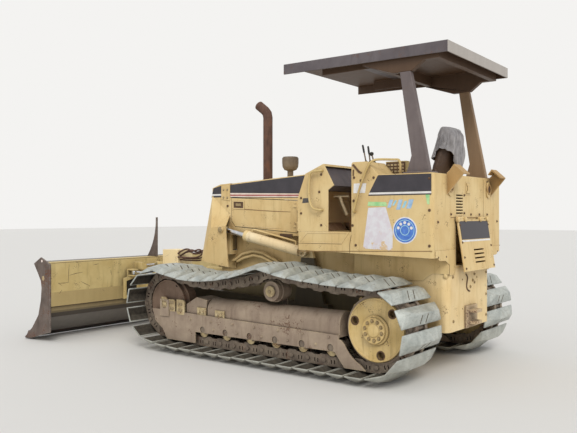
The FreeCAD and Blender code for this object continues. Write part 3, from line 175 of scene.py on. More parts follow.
# sizes in mm: patch of fading, width of a rain streak, stone chip, rubbed edge
enamelLooks = {
    "sunFadedYellowEnamel": {"base": "#D4B67E", "faded": "#E0C792", "grime": "#A98A55", "grimeAndShade": "#6E5536",
                             "rust": "#6B4A2C", "bare": "#E9D6AC", "patch": 420, "streak": 45, "streaks": 0.5,
                             "corners": 0.7, "chip": 7, "chipLimit": 0.395, "rough": 0.46},
    "bladeYellowEnamel": {"base": "#C3AC74", "faded": "#D3BF88", "grime": "#8E7A4B", "grimeAndShade": "#5E4C33",
                          "rust": "#5F4A36", "bare": "#A89A80", "patch": 350, "streak": 60, "streaks": 0.65,
                          "corners": 0.75, "chip": 10, "chipLimit": 0.375, "rough": 0.5},
    "sprocketEnamel": {"base": "#D6B878", "faded": "#E2C890", "grime": "#8C6F45", "grimeAndShade": "#5C4630",
                       "rust": "#5A3D26", "bare": "#8B6E4C", "patch": 180, "streak": 40, "streaks": 0.6,
                       "corners": 0.85, "chip": 9, "chipLimit": 0.365, "rough": 0.5},
    "charcoalEnamel": {"base": "#4E474A", "faded": "#625A5C", "grime": "#3A3334", "grimeAndShade": "#2E2624",
                       "rust": "#6A4B38", "bare": "#8A8482", "patch": 300, "streak": 50, "streaks": 0.5,
                       "corners": 0.6, "chip": 6, "chipLimit": 0.38, "rough": 0.42},
    "brownUnderside": {"base": "#5A4432", "faded": "#6B5340", "grime": "#463326", "grimeAndShade": "#33251B",
                       "rust": "#6A4630", "bare": "#7A6550", "patch": 260, "streak": 70, "streaks": 0.5,
                       "corners": 0.6, "chip": 8, "chipLimit": 0.4, "rough": 0.6},
    "muddyFrameIron": {"base": "#9A8877", "faded": "#AD9B87", "grime": "#6B5747", "grimeAndShade": "#3E3228",
                       "rust": "#7A6150", "bare": "#CDBB98", "patch": 150, "streak": 60, "streaks": 0.6,
                       "corners": 0.9, "chip": 16, "chipLimit": 0.35, "rough": 0.62, "grain": 0.6, "rub": 10},
    "oiledChainIron": {"base": "#7D7064", "faded": "#978978", "grime": "#4C4138", "grimeAndShade": "#2B241E",
                       "rust": "#6E4A36", "bare": "#A99C8B", "patch": 90, "streak": 30, "streaks": 0.6,
                       "corners": 0.9, "chip": 9, "chipLimit": 0.35, "rough": 0.5, "metallic": 0.35, "grain": 0.6},
    "rustedPipe": {"base": "#5A4238", "faded": "#6E5246", "grime": "#3E2D27", "grimeAndShade": "#2C201B",
                   "rust": "#6E4A36", "bare": "#80685A", "patch": 70, "streak": 24, "streaks": 0.6,
                   "corners": 0.6, "chip": 5, "chipLimit": 0.34, "rough": 0.72, "grain": 0.8},
    "wornEdgeSteel": {"base": "#62564F", "faded": "#7D7068", "grime": "#493E38", "grimeAndShade": "#2F2722",
                       "rust": "#6F4C3A", "bare": "#B5ADA4", "patch": 160, "streak": 26, "streaks": 0.6,
                       "corners": 0.7, "chip": 12, "chipLimit": 0.34, "rough": 0.45, "metallic": 0.5, "rub": 12},
    "dustyPlastic": {"base": "#7A6B5A", "faded": "#8B7C69", "grime": "#5C5043", "grimeAndShade": "#40372E",
                     "rust": "#6A5C4C", "bare": "#8F8271", "patch": 90, "streak": 30, "streaks": 0.5,
                     "corners": 0.9, "chip": 5, "chipLimit": 0.42, "rough": 0.55, "dents": 0.1},
    "brownWheelIron": {"base": "#7C6656", "faded": "#8D7664", "grime": "#5E4A3C", "grimeAndShade": "#3A2E25",
                       "rust": "#75513C", "bare": "#A08C74", "patch": 170, "streak": 50, "streaks": 0.6,
                       "corners": 0.85, "chip": 9, "chipLimit": 0.37, "rough": 0.6},
    "creamWornIron": {"base": "#B5A078", "faded": "#CFBC92", "grime": "#6F5D45", "grimeAndShade": "#4A3C2D",
                      "rust": "#7A5A3E", "bare": "#E2D4B2", "patch": 60, "streak": 30, "streaks": 0.6,
                      "corners": 0.9, "chip": 8, "chipLimit": 0.35, "rough": 0.55},
    "greyPostEnamel": {"base": "#6B6160", "faded": "#7A706E", "grime": "#544A48", "grimeAndShade": "#3A302C",
                       "rust": "#6F5442", "bare": "#938B88", "patch": 260, "streak": 50, "streaks": 0.5,
                       "corners": 0.6, "chip": 6, "chipLimit": 0.4, "rough": 0.45},
}
# The roof is brown inside its rims and pale on its rear rim; below its seam the blade's back is painted shade, under a
# dirty band at the seam
enamelLooks["canopyEnamel"] = dict(enamelLooks["charcoalEnamel"], base="#5B5457", faded="#6B6466", zones=[
    {"box": ((-630, 630), (-2400, 2162), (2300, 2600)), "dark": "#4B3626", "light": "#604A38"},
    {"box": ((-630, 630), (590, 1110), (2590, 2614.5)), "dark": "#4B3626", "light": "#604A38"},
    {"box": ((-640, 640), (2164, 2175), (2400, 2640)), "dark": "#9D968F", "light": "#B8B2AB"}])
enamelLooks["postEnamel"] = dict(enamelLooks["greyPostEnamel"], zones=[
    {"box": ((-900, 0), (-2400, 2300), (1000, 2600)), "dark": "#7E654B", "light": "#9C8266"}])
# Painted light: the cowl is paler inside the operator's station, above the floor, so that its shaded inner side renders
# light
enamelLooks["cowlEnamelPaintedLight"] = dict(enamelLooks["sunFadedYellowEnamel"], zones=[
    {"box": ((-640, 640), (700, 1170), (1146, 1640)), "dark": "#E8C490", "light": "#F6DAA8"}])
# Painted shade: the instrument panel's column below 1490 mm is brown, the colour its paint takes in shade
enamelLooks["dashEnamelPaintedShade"] = dict(enamelLooks["charcoalEnamel"], zones=[
    {"box": ((-700, 700), (900, 1300), (1100, 1490)), "dark": "#8A6A4A", "light": "#A5825C"}])
# The arms' paint is paler than the body's, painted light so that the tower box, which lies in shade, renders bright;
# the arms low down behind the tower are darker, painted shade with dirt
enamelLooks["armEnamelPaintedLightAndShade"] = dict(enamelLooks["sunFadedYellowEnamel"], base="#F0D8A4", faded="#F6E2B4",
                                corners=0.4, zones=[
    {"box": ((-800, 800), (-1100, 1000), (0, 900)), "dark": "#544C3C", "light": "#6C624E"}])
# The main frame is darker below 690 mm: painted shade, with dirt
enamelLooks["mainFrameEnamelShadedLow"] = dict(enamelLooks["sunFadedYellowEnamel"], zones=[
    {"box": ((-800, 800), (-900, 1500), (0, 690)), "dark": "#5E543F", "light": "#7A6D50"}])
enamelLooks["caseEnamel"] = dict(enamelLooks["sunFadedYellowEnamel"], base="#DFC38E", faded="#E9D2A2")
enamelLooks["cylinderEnamel"] = dict(enamelLooks["sunFadedYellowEnamel"], base="#E4CCA0", faded="#EEDCB6")
enamelLooks["railEnamel"] = dict(enamelLooks["sunFadedYellowEnamel"], base="#BFA469", faded="#CFB780", streaks=0.7)
# Painted shade: the lamp visors' paint is darker than the body's, as their side lies in shade
enamelLooks["visorEnamel"] = dict(enamelLooks["sunFadedYellowEnamel"], base="#AE8B58", faded="#BD9A67")
enamelLooks["dustyHitchIron"] = dict(enamelLooks["muddyFrameIron"], base="#B39C7C", faded="#C7B190", grime="#85705A")
# Blade zones: a darker band above the seam, a dirty band at the seam, then painted shade below it, near black at the
# bottom and grey on the lower back that slopes forward
enamelLooks["bladeEnamelPaintedShade"] = dict(enamelLooks["bladeYellowEnamel"], zones=[
    {"box": ((-1430, 1430), (-1790, -1740), (361, 505)), "dark": "#A48F60", "light": "#BBA676"},
    {"box": ((-1430, 1430), (-1810, -1740), (351, 362)), "dark": "#4C3F30", "light": "#5E4E3B"},
    {"box": ((-1430, 1430), (-2300, -1770), (290, 352)), "dark": "#78694F", "light": "#94835F"},
    {"box": ((-1430, 1430), (-2300, -1770), (-10, 290)), "dark": "#423A33", "light": "#5D544B"},
    {"box": ((-1430, 1430), (-2300, -1874), (-10, 900)), "dark": "#6C6660", "light": "#8C867F"}])
finishes = {name: wornEnamel(name, look) for name, look in enamelLooks.items()}


# Grouser steel: bare, scoured pale by gravel, with long scratches and dried clay; painted shade goes near black in the
# hollows, the edges get a painted highlight over their wear, and the lower run is lightened by painted light from the
# floor
def scouredSteel():
    material, tree, shader = newFinish("scouredGrouserSteel", {"Metallic": 0.3, "Specular IOR Level": 0.4})
    place = addNode(tree, "TexCoord").outputs["Object"]
    cloud = addNode(tree, "TexNoise", {"Scale": perMetre(110), "Detail": 6.0, "Roughness": 0.65}, {"Vector": place})
    tone = addNode(tree, "MapRange", {"From Min": 0.32, "From Max": 0.68}, {"Value": cloud.outputs["Fac"]})
    steel = addNode(tree, "Mix", {6: toLinear("#969C98"), 7: toLinear("#C6CAC4")}, {0: tone.outputs[0]},
                    data_type="RGBA")
    across = addNode(tree, "Mapping", {"Scale": (0.16, 1.0, 1.0)}, {"Vector": place})
    scratch = addNode(tree, "TexNoise", {"Scale": perMetre(9), "Detail": 5.0, "Roughness": 0.7},
                      {"Vector": across.outputs[0]})
    lines = addNode(tree, "MapRange", {"From Min": 0.56, "From Max": 0.66, "To Max": 0.6},
                    {"Value": scratch.outputs["Fac"]})
    smear = addNode(tree, "TexNoise", {"Scale": perMetre(60), "Detail": 7.0, "Roughness": 0.7}, {"Vector": place})
    clay = addNode(tree, "MapRange", {"From Min": 0.56, "From Max": 0.72, "To Max": 0.55},
                   {"Value": smear.outputs["Fac"]})
    # Painted shade: the hollows go near black where ambient occlusion is low
    corner = addNode(tree, "AmbientOcclusion", {"Distance": 0.08}, samples=4)
    hollow = addNode(tree, "MapRange", {"From Min": 0.8, "From Max": 0.3, "To Max": 0.92},
                     {"Value": corner.outputs["AO"]})
    # Painted highlight over scoured wear: the shoe edges are lightened
    edge = edgeMask(tree, 6, {"From Min": 0.99, "From Max": 0.88, "To Max": 0.6})
    # Painted light: the shoes low down, near the floor, are lightened as if lit from below
    height = addNode(tree, "SeparateXYZ", {}, {0: place})
    floorLitLowRun = addNode(tree, "MapRange", {"From Min": 0.42, "From Max": 0.1, "To Max": 0.35},
                     {"Value": height.outputs[2]})
    color = overlaid(tree, steel.outputs[2], (("#7B7771", lines), ("#8E8373", clay), ("#3B362F", hollow),
                                              ("#CFD0CB", edge), ("#B0A998", floorLitLowRun)))
    tree.links.new(color, shader.inputs["Base Color"])
    rough = addNode(tree, "MapRange", {"To Min": 0.38, "To Max": 0.62}, {"Value": cloud.outputs["Fac"]})
    tree.links.new(rough.outputs[0], shader.inputs["Roughness"])
    relief = addNode(tree, "Bump", {"Strength": 0.45, "Distance": 0.003}, {"Height": scratch.outputs["Fac"]})
    tree.links.new(relief.outputs[0], shader.inputs["Normal"])
    return material


# Simple finishes: one grain of noise varies the colour and the roughness, and gives the surface its relief
def plainFinish(name, look):
    material, tree, shader = newFinish(name, {"Metallic": look.get("metallic", 0.0)})
    place = addNode(tree, "TexCoord").outputs["Object"]
    stretch = addNode(tree, "Mapping", {"Scale": look.get("stretch", (1.0, 1.0, 1.0))}, {"Vector": place})
    grain = addNode(tree, "TexNoise", {"Scale": perMetre(look["grain"]), "Detail": 5.0, "Roughness": 0.6},
                    {"Vector": stretch.outputs[0]})
    tone = addNode(tree, "MapRange", {"From Min": 0.35, "From Max": 0.68}, {"Value": grain.outputs["Fac"]})
    color = addNode(tree, "Mix", {6: toLinear(look["dark"]), 7: toLinear(look["light"])}, {0: tone.outputs[0]},
                    data_type="RGBA")
    tree.links.new(color.outputs[2], shader.inputs["Base Color"])
    rough = addNode(tree, "MapRange", {"To Min": look["rough"], "To Max": look["rough"] + 0.18},
                    {"Value": grain.outputs["Fac"]})
    tree.links.new(rough.outputs[0], shader.inputs["Roughness"])
    relief = addNode(tree, "Bump", {"Strength": look.get("relief", 0.15), "Distance": 0.001},
                     {"Height": grain.outputs["Fac"]})
    tree.links.new(relief.outputs[0], shader.inputs["Normal"])
    return material


plainLooks = {
    "hardChrome": {"dark": "#B9BABD", "light": "#D8D9DB", "grain": 30, "rough": 0.1, "metallic": 1.0},
    "agedRubber": {"dark": "#1D1B1A", "light": "#33302D", "grain": 14, "rough": 0.6, "relief": 0.3},
    "zincedBolt": {"dark": "#8E7A58", "light": "#B39C72", "grain": 12, "rough": 0.42, "metallic": 0.4},
    "muddyBolt": {"dark": "#8C7A60", "light": "#B5A381", "grain": 9, "rough": 0.55},
    "rustedBolt": {"dark": "#4A3627", "light": "#75583E", "grain": 7, "rough": 0.65},
    "grooveDark": {"dark": "#4E493F", "light": "#746C5E", "grain": 30, "rough": 0.8, "relief": 0.3},
    "dustyMat": {"dark": "#9C7A5C", "light": "#BC9A7C", "grain": 60, "rough": 0.7},
    "packedDirt": {"dark": "#3A352E", "light": "#565045", "grain": 35, "rough": 0.85, "relief": 0.4},
    "darkVoid": {"dark": "#17130F", "light": "#241D16", "grain": 40, "rough": 0.85},
    "charcoalFilm": {"dark": "#322F35", "light": "#3F3B41", "grain": 120, "rough": 0.38, "relief": 0.05},
    "crackFilm": {"dark": "#4E3F2C", "light": "#67533A", "grain": 12, "rough": 0.7, "relief": 0.3},
    "grimeFilm": {"dark": "#7A5E3C", "light": "#9A7B50", "grain": 18, "rough": 0.6, "relief": 0.1},
    "paleFilm": {"dark": "#E3CFC2", "light": "#F0E2D8", "grain": 60, "rough": 0.42, "relief": 0.05},
    "redFilm": {"dark": "#9C4B46", "light": "#B5605A", "grain": 60, "rough": 0.42, "relief": 0.05},
    "whiteFilm": {"dark": "#D9D6D2", "light": "#EDEBE8", "grain": 45, "rough": 0.42, "relief": 0.05},
    "blueFilm": {"dark": "#3C68BE", "light": "#5B8BDA", "grain": 35, "rough": 0.4, "relief": 0.05},
    "skyBlueFilm": {"dark": "#8FB2D6", "light": "#B5CDE2", "grain": 30, "rough": 0.45, "relief": 0.05},
    "paleBlueFilm": {"dark": "#8CC4DC", "light": "#BBDCE0", "grain": 30, "rough": 0.45, "relief": 0.05},
    "cableGrey": {"dark": "#4A4644", "light": "#625D59", "grain": 20, "rough": 0.55},
    "greenFilm": {"dark": "#93CE8C", "light": "#BFE0A4", "grain": 40, "rough": 0.45, "relief": 0.05},
    "crackedVinyl": {"dark": "#3B2A20", "light": "#54402F", "grain": 10, "rough": 0.55, "relief": 0.4},
    "dustyFins": {"dark": "#2E2B28", "light": "#4A4640", "grain": 6, "rough": 0.6, "metallic": 0.5,
                  "stretch": (1.0, 1.0, 0.05)},
}
finishes.update({name: plainFinish(name, look) for name, look in plainLooks.items()})
finishes["scouredGrouserSteel"] = scouredSteel()


# Torn label film: pale lilac, with the enamel showing through the tears
def tornFilm():
    material, tree, shader = newFinish("tornLilacFilm", {"Roughness": 0.5})
    place = addNode(tree, "TexCoord").outputs["Object"]
    tear = addNode(tree, "TexNoise", {"Scale": perMetre(70), "Detail": 7.0, "Roughness": 0.7}, {"Vector": place})
    height = addNode(tree, "SeparateXYZ", {}, {0: place})
    low = addNode(tree, "MapRange", {"From Min": 1.16, "From Max": 1.0, "To Max": 0.17}, {"Value": height.outputs[2]})
    total = addNode(tree, "Math", {}, {0: tear.outputs["Fac"], 1: low.outputs[0]}, operation="ADD")
    gap = addNode(tree, "MapRange", {"From Min": 0.645, "From Max": 0.675, "To Max": 0.8}, {"Value": total.outputs[0]})
    bleach = addNode(tree, "TexNoise", {"Scale": perMetre(45), "Detail": 4.0}, {"Vector": place})
    pale = addNode(tree, "MapRange", {"From Min": 0.4, "From Max": 0.6}, {"Value": bleach.outputs["Fac"]})
    film = addNode(tree, "Mix", {6: toLinear("#D8D1D7"), 7: toLinear("#DFDEE2")}, {0: pale.outputs[0]},
                   data_type="RGBA")
    tree.links.new(overlaid(tree, film.outputs[2], [("#D8B478", gap)]), shader.inputs["Base Color"])
    return material


# Cover cloth: grey plain weave, dusty; the weave is drawn at 4 mm, coarser than real, so that it shows
def coverCloth():
    material, tree, shader = newFinish("dustyCoverCloth", {"Sheen Weight": 0.35, "Sheen Roughness": 0.5,
                                                           "Roughness": 0.85})
    place = addNode(tree, "TexCoord").outputs["Object"]
    dust = addNode(tree, "TexNoise", {"Scale": perMetre(70), "Detail": 6.0, "Roughness": 0.65}, {"Vector": place})
    tone = addNode(tree, "MapRange", {"From Min": 0.3, "From Max": 0.7}, {"Value": dust.outputs["Fac"]})
    color = addNode(tree, "Mix", {6: toLinear("#6D6A6C"), 7: toLinear("#9B9899")}, {0: tone.outputs[0]},
                    data_type="RGBA")
    tree.links.new(color.outputs[2], shader.inputs["Base Color"])
    weave = addNode(tree, "TexVoronoi", {"Scale": perMetre(4)}, {"Vector": place})
    relief = addNode(tree, "Bump", {"Strength": 0.4, "Distance": 0.001}, {"Height": weave.outputs["Distance"]})
    tree.links.new(relief.outputs[0], shader.inputs["Normal"])
    return material


finishes["tornLilacFilm"] = tornFilm()
finishes["dustyCoverCloth"] = coverCloth()
print("finishes made")

# The CAD nodes keep their solids; each gets its finish and rounded edges
nodeFinish = {
    "sprockets": "sprocketEnamel", "idlers": "brownWheelIron", "track_rollers": "oiledChainIron",
    "carrier_rollers": "muddyFrameIron", "track_frame_left": "muddyFrameIron", "track_frame_right": "muddyFrameIron",
    "transmission_case": "caseEnamel", "final_drives": "sprocketEnamel", "drawbar_hitch": "dustyHitchIron",
    "main_frame": "mainFrameEnamelShadedLow", "engine_block": "charcoalEnamel", "hood": "sunFadedYellowEnamel",
    "engine_door_left": "sunFadedYellowEnamel", "engine_door_right": "sunFadedYellowEnamel",
    "radiator_guard": "sunFadedYellowEnamel", "front_grille": "charcoalEnamel", "radiator_core": "dustyFins",
    "floor_platform": "sunFadedYellowEnamel", "cowl": "cowlEnamelPaintedLight", "instrument_panel": "dashEnamelPaintedShade",
    "fuel_tank_left": "sunFadedYellowEnamel", "side_box_right": "sunFadedYellowEnamel",
    "rear_body_panel": "sunFadedYellowEnamel", "rear_hatch": "sunFadedYellowEnamel",
    "lamp_guards": "visorEnamel", "rear_lamps": "sunFadedYellowEnamel", "control_levers": "dustyPlastic",
    "console_grille": "bladeYellowEnamel", "grab_handles": "sunFadedYellowEnamel", "seat_base": "charcoalEnamel",
    "seat_cushion": "crackedVinyl", "seat_backrest": "crackedVinyl", "canopy_posts": "postEnamel",
    "canopy_roof": "canopyEnamel", "exhaust_stack": "rustedPipe", "precleaner": "dustyPlastic",
    "hydraulic_pipes": "sunFadedYellowEnamel", "c_frame": "armEnamelPaintedLightAndShade", "blade_carrier": "bladeYellowEnamel",
    "blade": "bladeEnamelPaintedShade", "cutting_edge": "wornEdgeSteel", "blade_end_plates": "wornEdgeSteel",
    "blade_fin": "wornEdgeSteel", "lift_barrel_left": "cylinderEnamel", "lift_barrel_right": "cylinderEnamel",
    "lift_rod_left": "hardChrome", "lift_rod_right": "hardChrome", "angle_barrel_left": "bladeYellowEnamel",
    "angle_barrel_right": "bladeYellowEnamel", "angle_rod_left": "hardChrome", "angle_rod_right": "hardChrome",
    "tilt_barrel": "bladeYellowEnamel", "tilt_rod": "hardChrome", "track_left": "scouredGrouserSteel",
    "track_right": "scouredGrouserSteel"}
edgeWidths = {"blade": 6, "c_frame": 5, "blade_carrier": 5, "transmission_case": 5, "main_frame": 4,
              "fuel_tank_left": 5,
              "side_box_right": 5, "canopy_posts": 5, "canopy_roof": 4, "track_frame_left": 4, "track_frame_right": 4,
              "blade_end_plates": 4, "cutting_edge": 4, "instrument_panel": 6, "idlers": 4, "sprockets": 3}
for name, node in nodes.items():
    finish = finishes[nodeFinish[name]]
    if not node.material_slots:
        node.data.materials.append(finish)
    for slot in node.material_slots:
        slot.link = "OBJECT"
        slot.material = finish
    if name in ("track_left", "track_right"):
        continue
    weld = node.modifiers.new("weld", "WELD")
    weld.merge_threshold = 0.00002
    flat = node.modifiers.new("flat", "DECIMATE")
    flat.decimate_type = "DISSOLVE"
    flat.angle_limit = math.radians(0.5)
    edge = node.modifiers.new("edge", "BEVEL")
    edge.width = edgeWidths.get(name, 2.5) / 1000
    edge.segments = 2
    edge.limit_method = "ANGLE"
    edge.angle_limit = math.radians(40)
    edge.use_clamp_overlap = True
    edge.harden_normals = False
print("solids dressed")


def newPiece(name, mesh, finish, body="tractor", smooth=40):
    piece = bpy.data.objects.new(name, mesh)
    scene.collection.objects.link(piece)
    mesh.materials.clear()
    mesh.materials.append(finishes[finish])
    mesh.shade_smooth()
    if smooth < 180:
        mesh.set_sharp_from_angle(angle=math.radians(smooth))
    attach(piece, body)
    return piece


def meshOf(build):
    grid = bmesh.new()
    build(grid)
    bmesh.ops.recalc_face_normals(grid, faces=grid.faces[:])
    mesh = bpy.data.meshes.new("mesh")
    grid.to_mesh(mesh)
    grid.free()
    return mesh


def shownMesh(holder):
    return bpy.data.meshes.new_from_object(holder.evaluated_get(bpy.context.evaluated_depsgraph_get()))


# The mesh of a helper object with its modifiers or its curve worked out; the helper goes
def takeMesh(holder):
    scene.collection.objects.link(holder)
    bpy.context.view_layer.update()
    mesh = shownMesh(holder)
    bpy.data.objects.remove(holder)
    return mesh


def towards(direction, origin):
    return Matrix.Translation(origin) @ Vector(direction).to_track_quat("Z", "Y").to_matrix().to_4x4()


# A turned piece: radius and height pairs in mm, spun about the direction
def turned(name, profile, origin, direction, finish, steps=48, body="tractor"):
    place = towards(direction, origin)

    def build(grid):
        rings = []
        for radius, height in profile:
            if radius == 0:
                rings.append([grid.verts.new(place @ Vector((0, 0, height / 1000)))])
                continue
            turns = [2 * math.pi * i / steps for i in range(steps)]
            rings.append([grid.verts.new(place @ Vector((radius / 1000 * math.cos(turn), radius / 1000 * math.sin(turn),
                                                         height / 1000))) for turn in turns])
        for low, high in zip(rings, rings[1:]):
            for i in range(steps):
                j = (i + 1) % steps
                corners = [low[i % len(low)], low[j % len(low)], high[j % len(high)], high[i % len(high)]]
                unique = list(dict.fromkeys(corners))
                if len(unique) > 2:
                    grid.faces.new(unique)
    return newPiece(name, meshOf(build), finish, body)


# Hexagon bolt heads on washers, all of one group in one mesh, each a place in mm turned to the direction
def bolts(name, places, direction, width, finish, body="tractor"):
    half = width / 2000

    def build(grid):
        for point in places:
            place = towards(direction, point) @ Matrix.Rotation(random.uniform(0, 1), 4, "Z")
            for sides, radius, low, high in ((16, half * 1.35, -0.001, half * 0.22), (6, half, half * 0.2, half * 0.95)):
                middle = place @ Matrix.Translation((0, 0, (high + low) / 2))
                made = bmesh.ops.create_cone(grid, cap_ends=True, segments=sides, radius1=radius,
                                             radius2=radius * 0.94, depth=high - low, matrix=middle)
                rim = {e for v in made["verts"] for e in v.link_edges}
                bmesh.ops.bevel(grid, geom=list(rim), offset=half * 0.08, segments=1, affect="EDGES")
    return newPiece(name, meshOf(build), finish, body, 30)


# A flat or bent plate cut to an outline, with holes, laid out in two directions
def plate(name, loops, origin, across, up, thickness, finish, round=0.8, body="tractor"):
    curve = bpy.data.curves.new(name, "CURVE")
    curve.dimensions = "2D"
    curve.fill_mode = "BOTH"
    curve.extrude = max(thickness / 2000 - round / 1000, 0.0001)
    curve.bevel_depth = round / 1000
    curve.bevel_resolution = 1
    for loop in loops:
        spline = curve.splines.new("POLY")
        spline.points.add(len(loop) - 1)
        for point, (u, v) in zip(spline.points, loop):
            point.co = (u / 1000, v / 1000, 0, 1)
        spline.use_cyclic_u = True
    mesh = takeMesh(bpy.data.objects.new(name, curve))
    across, up = Vector(across).normalized(), Vector(up).normalized()
    turn = Matrix((across, up, across.cross(up))).transposed().to_4x4()
    mesh.transform(Matrix.Translation(origin) @ turn @ Matrix.Translation((0, 0, thickness / 2000)))
    return newPiece(name, mesh, finish, body, 30)


# A plate on a side, outlines as (ahead, z) in mm, and one that faces the rear, outlines as (x, z)
def sidePlate(name, loops, x, thickness, finish, round=0.8, body="tractor"):
    side = 1 if x > 0 else -1
    loops = [[(side * (-ahead), z) for ahead, z in loop] for loop in loops]
    return plate(name, loops, at(x, 0, 0), (0, side, 0), (0, 0, 1), thickness, finish, round, body)


def rearPlate(name, loops, ahead, thickness, finish, round=0.8, body="tractor"):
    loops = [[(-x, z) for x, z in loop] for loop in loops]
    return plate(name, loops, at(0, ahead, 0), (-1, 0, 0), (0, 0, 1), thickness, finish, round, body)


# Thin films on the same two faces
def sideFilm(name, outline, x, finish, thickness=0.8):
    return sidePlate(name, [outline], x, thickness, finish, 0.1)


def rearFilm(name, outline, ahead, finish, body="tractor", thickness=0.8):
    return rearPlate(name, [outline], ahead, thickness, finish, 0.1, body)


def circle(u, v, radius, steps=40):
    turns = [2 * math.pi * i / steps for i in range(steps)]
    return [(u + radius * math.cos(turn), v + radius * math.sin(turn)) for turn in turns]


def rectangle(u0, v0, u1, v1):
    return [(u0, v0), (u1, v0), (u1, v1), (u0, v1)]


# Tubes of one radius along smooth lines, all in one mesh
def tube(name, runs, radius, finish, body="tractor"):
    curve = bpy.data.curves.new(name, "CURVE")
    curve.dimensions = "3D"
    curve.bevel_depth = radius / 1000
    curve.bevel_resolution = 5
    curve.resolution_u = 10
    curve.use_fill_caps = True
    for run in runs:
        spline = curve.splines.new("NURBS")
        spline.points.add(len(run) - 1)
        for point, place in zip(spline.points, run):
            point.co = (*place, 1)
        spline.order_u = 3
        spline.use_endpoint_u = True
    return newPiece(name, takeMesh(bpy.data.objects.new(name, curve)), finish, body, 50)


# Track chains
chainLook = {"radius": 290.0, "linkHalf": 45.0, "plate": 10.0, "ridge": 62.0, "lift": 20.0, "carrier": 1040.0,
             "hump": 92.0, "frontSag": 105.0, "rearSag": 36.0, "base": 2330.0, "firstRoller": 408.0,
             "lastFlat": 1948.0, "shoes": 40, "wide": 635.0, "hip": 50.0, "crown": 100.0, "shoulder": 0.6, "gap": 14.0,
             "wall": 11.0}
chainDepth = chainLook["linkHalf"] + chainLook["plate"] + chainLook["ridge"]
sprocketHeight = chainLook["radius"] + chainDepth
idlerHeight = sprocketHeight + chainLook["lift"]


def chainLine():
    look = chainLook
    top = (0.0, sprocketHeight + look["radius"])
    carrier = (look["carrier"], top[1] + look["hump"])
    idlerTop = (look["base"], idlerHeight + look["radius"])
    line = []
    for turn in range(200):
        angle = math.radians(270 - 180 * turn / 200)
        line.append((look["radius"] * math.cos(angle), sprocketHeight + look["radius"] * math.sin(angle)))
    for start, end, sag in ((top, carrier, look["rearSag"]), (carrier, idlerTop, look["frontSag"])):
        for step in range(200):
            t = step / 200
            line.append((start[0] + (end[0] - start[0]) * t,
                         start[1] + (end[1] - start[1]) * t - 4 * sag * t * (1 - t)))
    for turn in range(200):
        angle = math.radians(90 - 180 * turn / 200)
        line.append((look["base"] + look["radius"] * math.cos(angle), idlerHeight + look["radius"] * math.sin(angle)))
    flat = [(look["base"], idlerHeight - look["radius"]), (look["lastFlat"], chainDepth),
            (look["firstRoller"], chainDepth), (0.0, sprocketHeight - look["radius"])]
    for start, end in zip(flat, flat[1:]):
        for step in range(100):
            line.append((start[0] + (end[0] - start[0]) * step / 100, start[1] + (end[1] - start[1]) * step / 100))
    return line


def chainJoints():
    line = chainLine()
    closed = line + [line[0]]
    lengths = [math.dist(a, b) for a, b in zip(closed, closed[1:])]
    step = sum(lengths) / chainLook["shoes"]
    joints, walked = [], 0.0
    for a, b, length in zip(closed, closed[1:], lengths):
        while len(joints) < chainLook["shoes"] and walked + length >= len(joints) * step:
            t = (len(joints) * step - walked) / length
            joints.append((a[0] + (b[0] - a[0]) * t, a[1] + (b[1] - a[1]) * t))
        walked += length
    return joints


joints = chainJoints()
linkPitch = math.dist(joints[5], joints[6])


# The faces of a ridge on a rectangle: a level crown in the middle, lower hips, then sloping ends
def ridgeFaces(grid, corners, hips, crown):
    west, westCrown, eastCrown, east = hips[0], crown[0], crown[1], hips[1]
    for low, high, line in ((corners[0], corners[1], (west, westCrown, eastCrown, east)),
                            (corners[2], corners[3], (east, eastCrown, westCrown, west))):
        grid.faces.new((low, high, line[2], line[1]))
        grid.faces.new((high, line[3], line[2]))
        grid.faces.new((low, line[1], line[0]))
    grid.faces.new((corners[1], corners[2], east))
    grid.faces.new((corners[3], corners[0], west))


# One swamp shoe, hollow underneath; the liner is the dark dirt that sits in its hollow
def shoeMesh(liner=False):
    look = chainLook
    halfWide, halfLong = look["wide"] / 2, linkPitch / 2 - look["gap"] / 2
    base, rim, top, wall = look["linkHalf"], look["linkHalf"] + look["plate"], chainDepth, look["wall"]
    hip, crown = halfWide - look["hip"], look["crown"]
    hipHeight = rim + look["shoulder"] * look["ridge"]

    def build(grid):
        def ring(dx, dy, z):
            return [grid.verts.new((x / 1000, y / 1000, z / 1000)) for x, y in
                    ((-dx, -dy), (dx, -dy), (dx, dy), (-dx, dy))]

        def pair(dx, z):
            return [grid.verts.new((x / 1000, 0, z / 1000)) for x in (-dx, dx)]
        if liner:
            inset, drop = wall + 0.8, wall * 1.3 + 0.8
            lowRing = ring(halfWide - inset - 2, halfLong - inset - 2, base)
            highRing = ring(halfWide - inset, halfLong - inset, base)
            ridgeFaces(grid, lowRing, pair(hip, hipHeight - drop - 2.5), pair(crown, top - drop - 2.5))
            ridgeFaces(grid, highRing, pair(hip, hipHeight - drop), pair(crown, top - drop))
        else:
            lowRing, highRing = ring(halfWide - wall, halfLong - wall, base), ring(halfWide, halfLong, base)
            outerRim = ring(halfWide, halfLong, rim)
            for i in range(4):
                j = (i + 1) % 4
                grid.faces.new((highRing[i], highRing[j], outerRim[j], outerRim[i]))
            ridgeFaces(grid, outerRim, pair(hip, hipHeight), pair(crown, top))
            ridgeFaces(grid, lowRing, pair(hip, hipHeight - wall * 1.3), pair(crown, top - wall * 1.3))
        for i in range(4):
            j = (i + 1) % 4
            grid.faces.new((highRing[i], highRing[j], lowRing[j], lowRing[i]))
    mesh = meshOf(build)
    if liner:
        return mesh
    shoe = bpy.data.objects.new("shoe", mesh)
    soften = shoe.modifiers.new("soften", "BEVEL")
    soften.width = 0.004
    soften.segments = 2
    soften.limit_method = "ANGLE"
    soften.angle_limit = math.radians(14)
    return takeMesh(shoe)


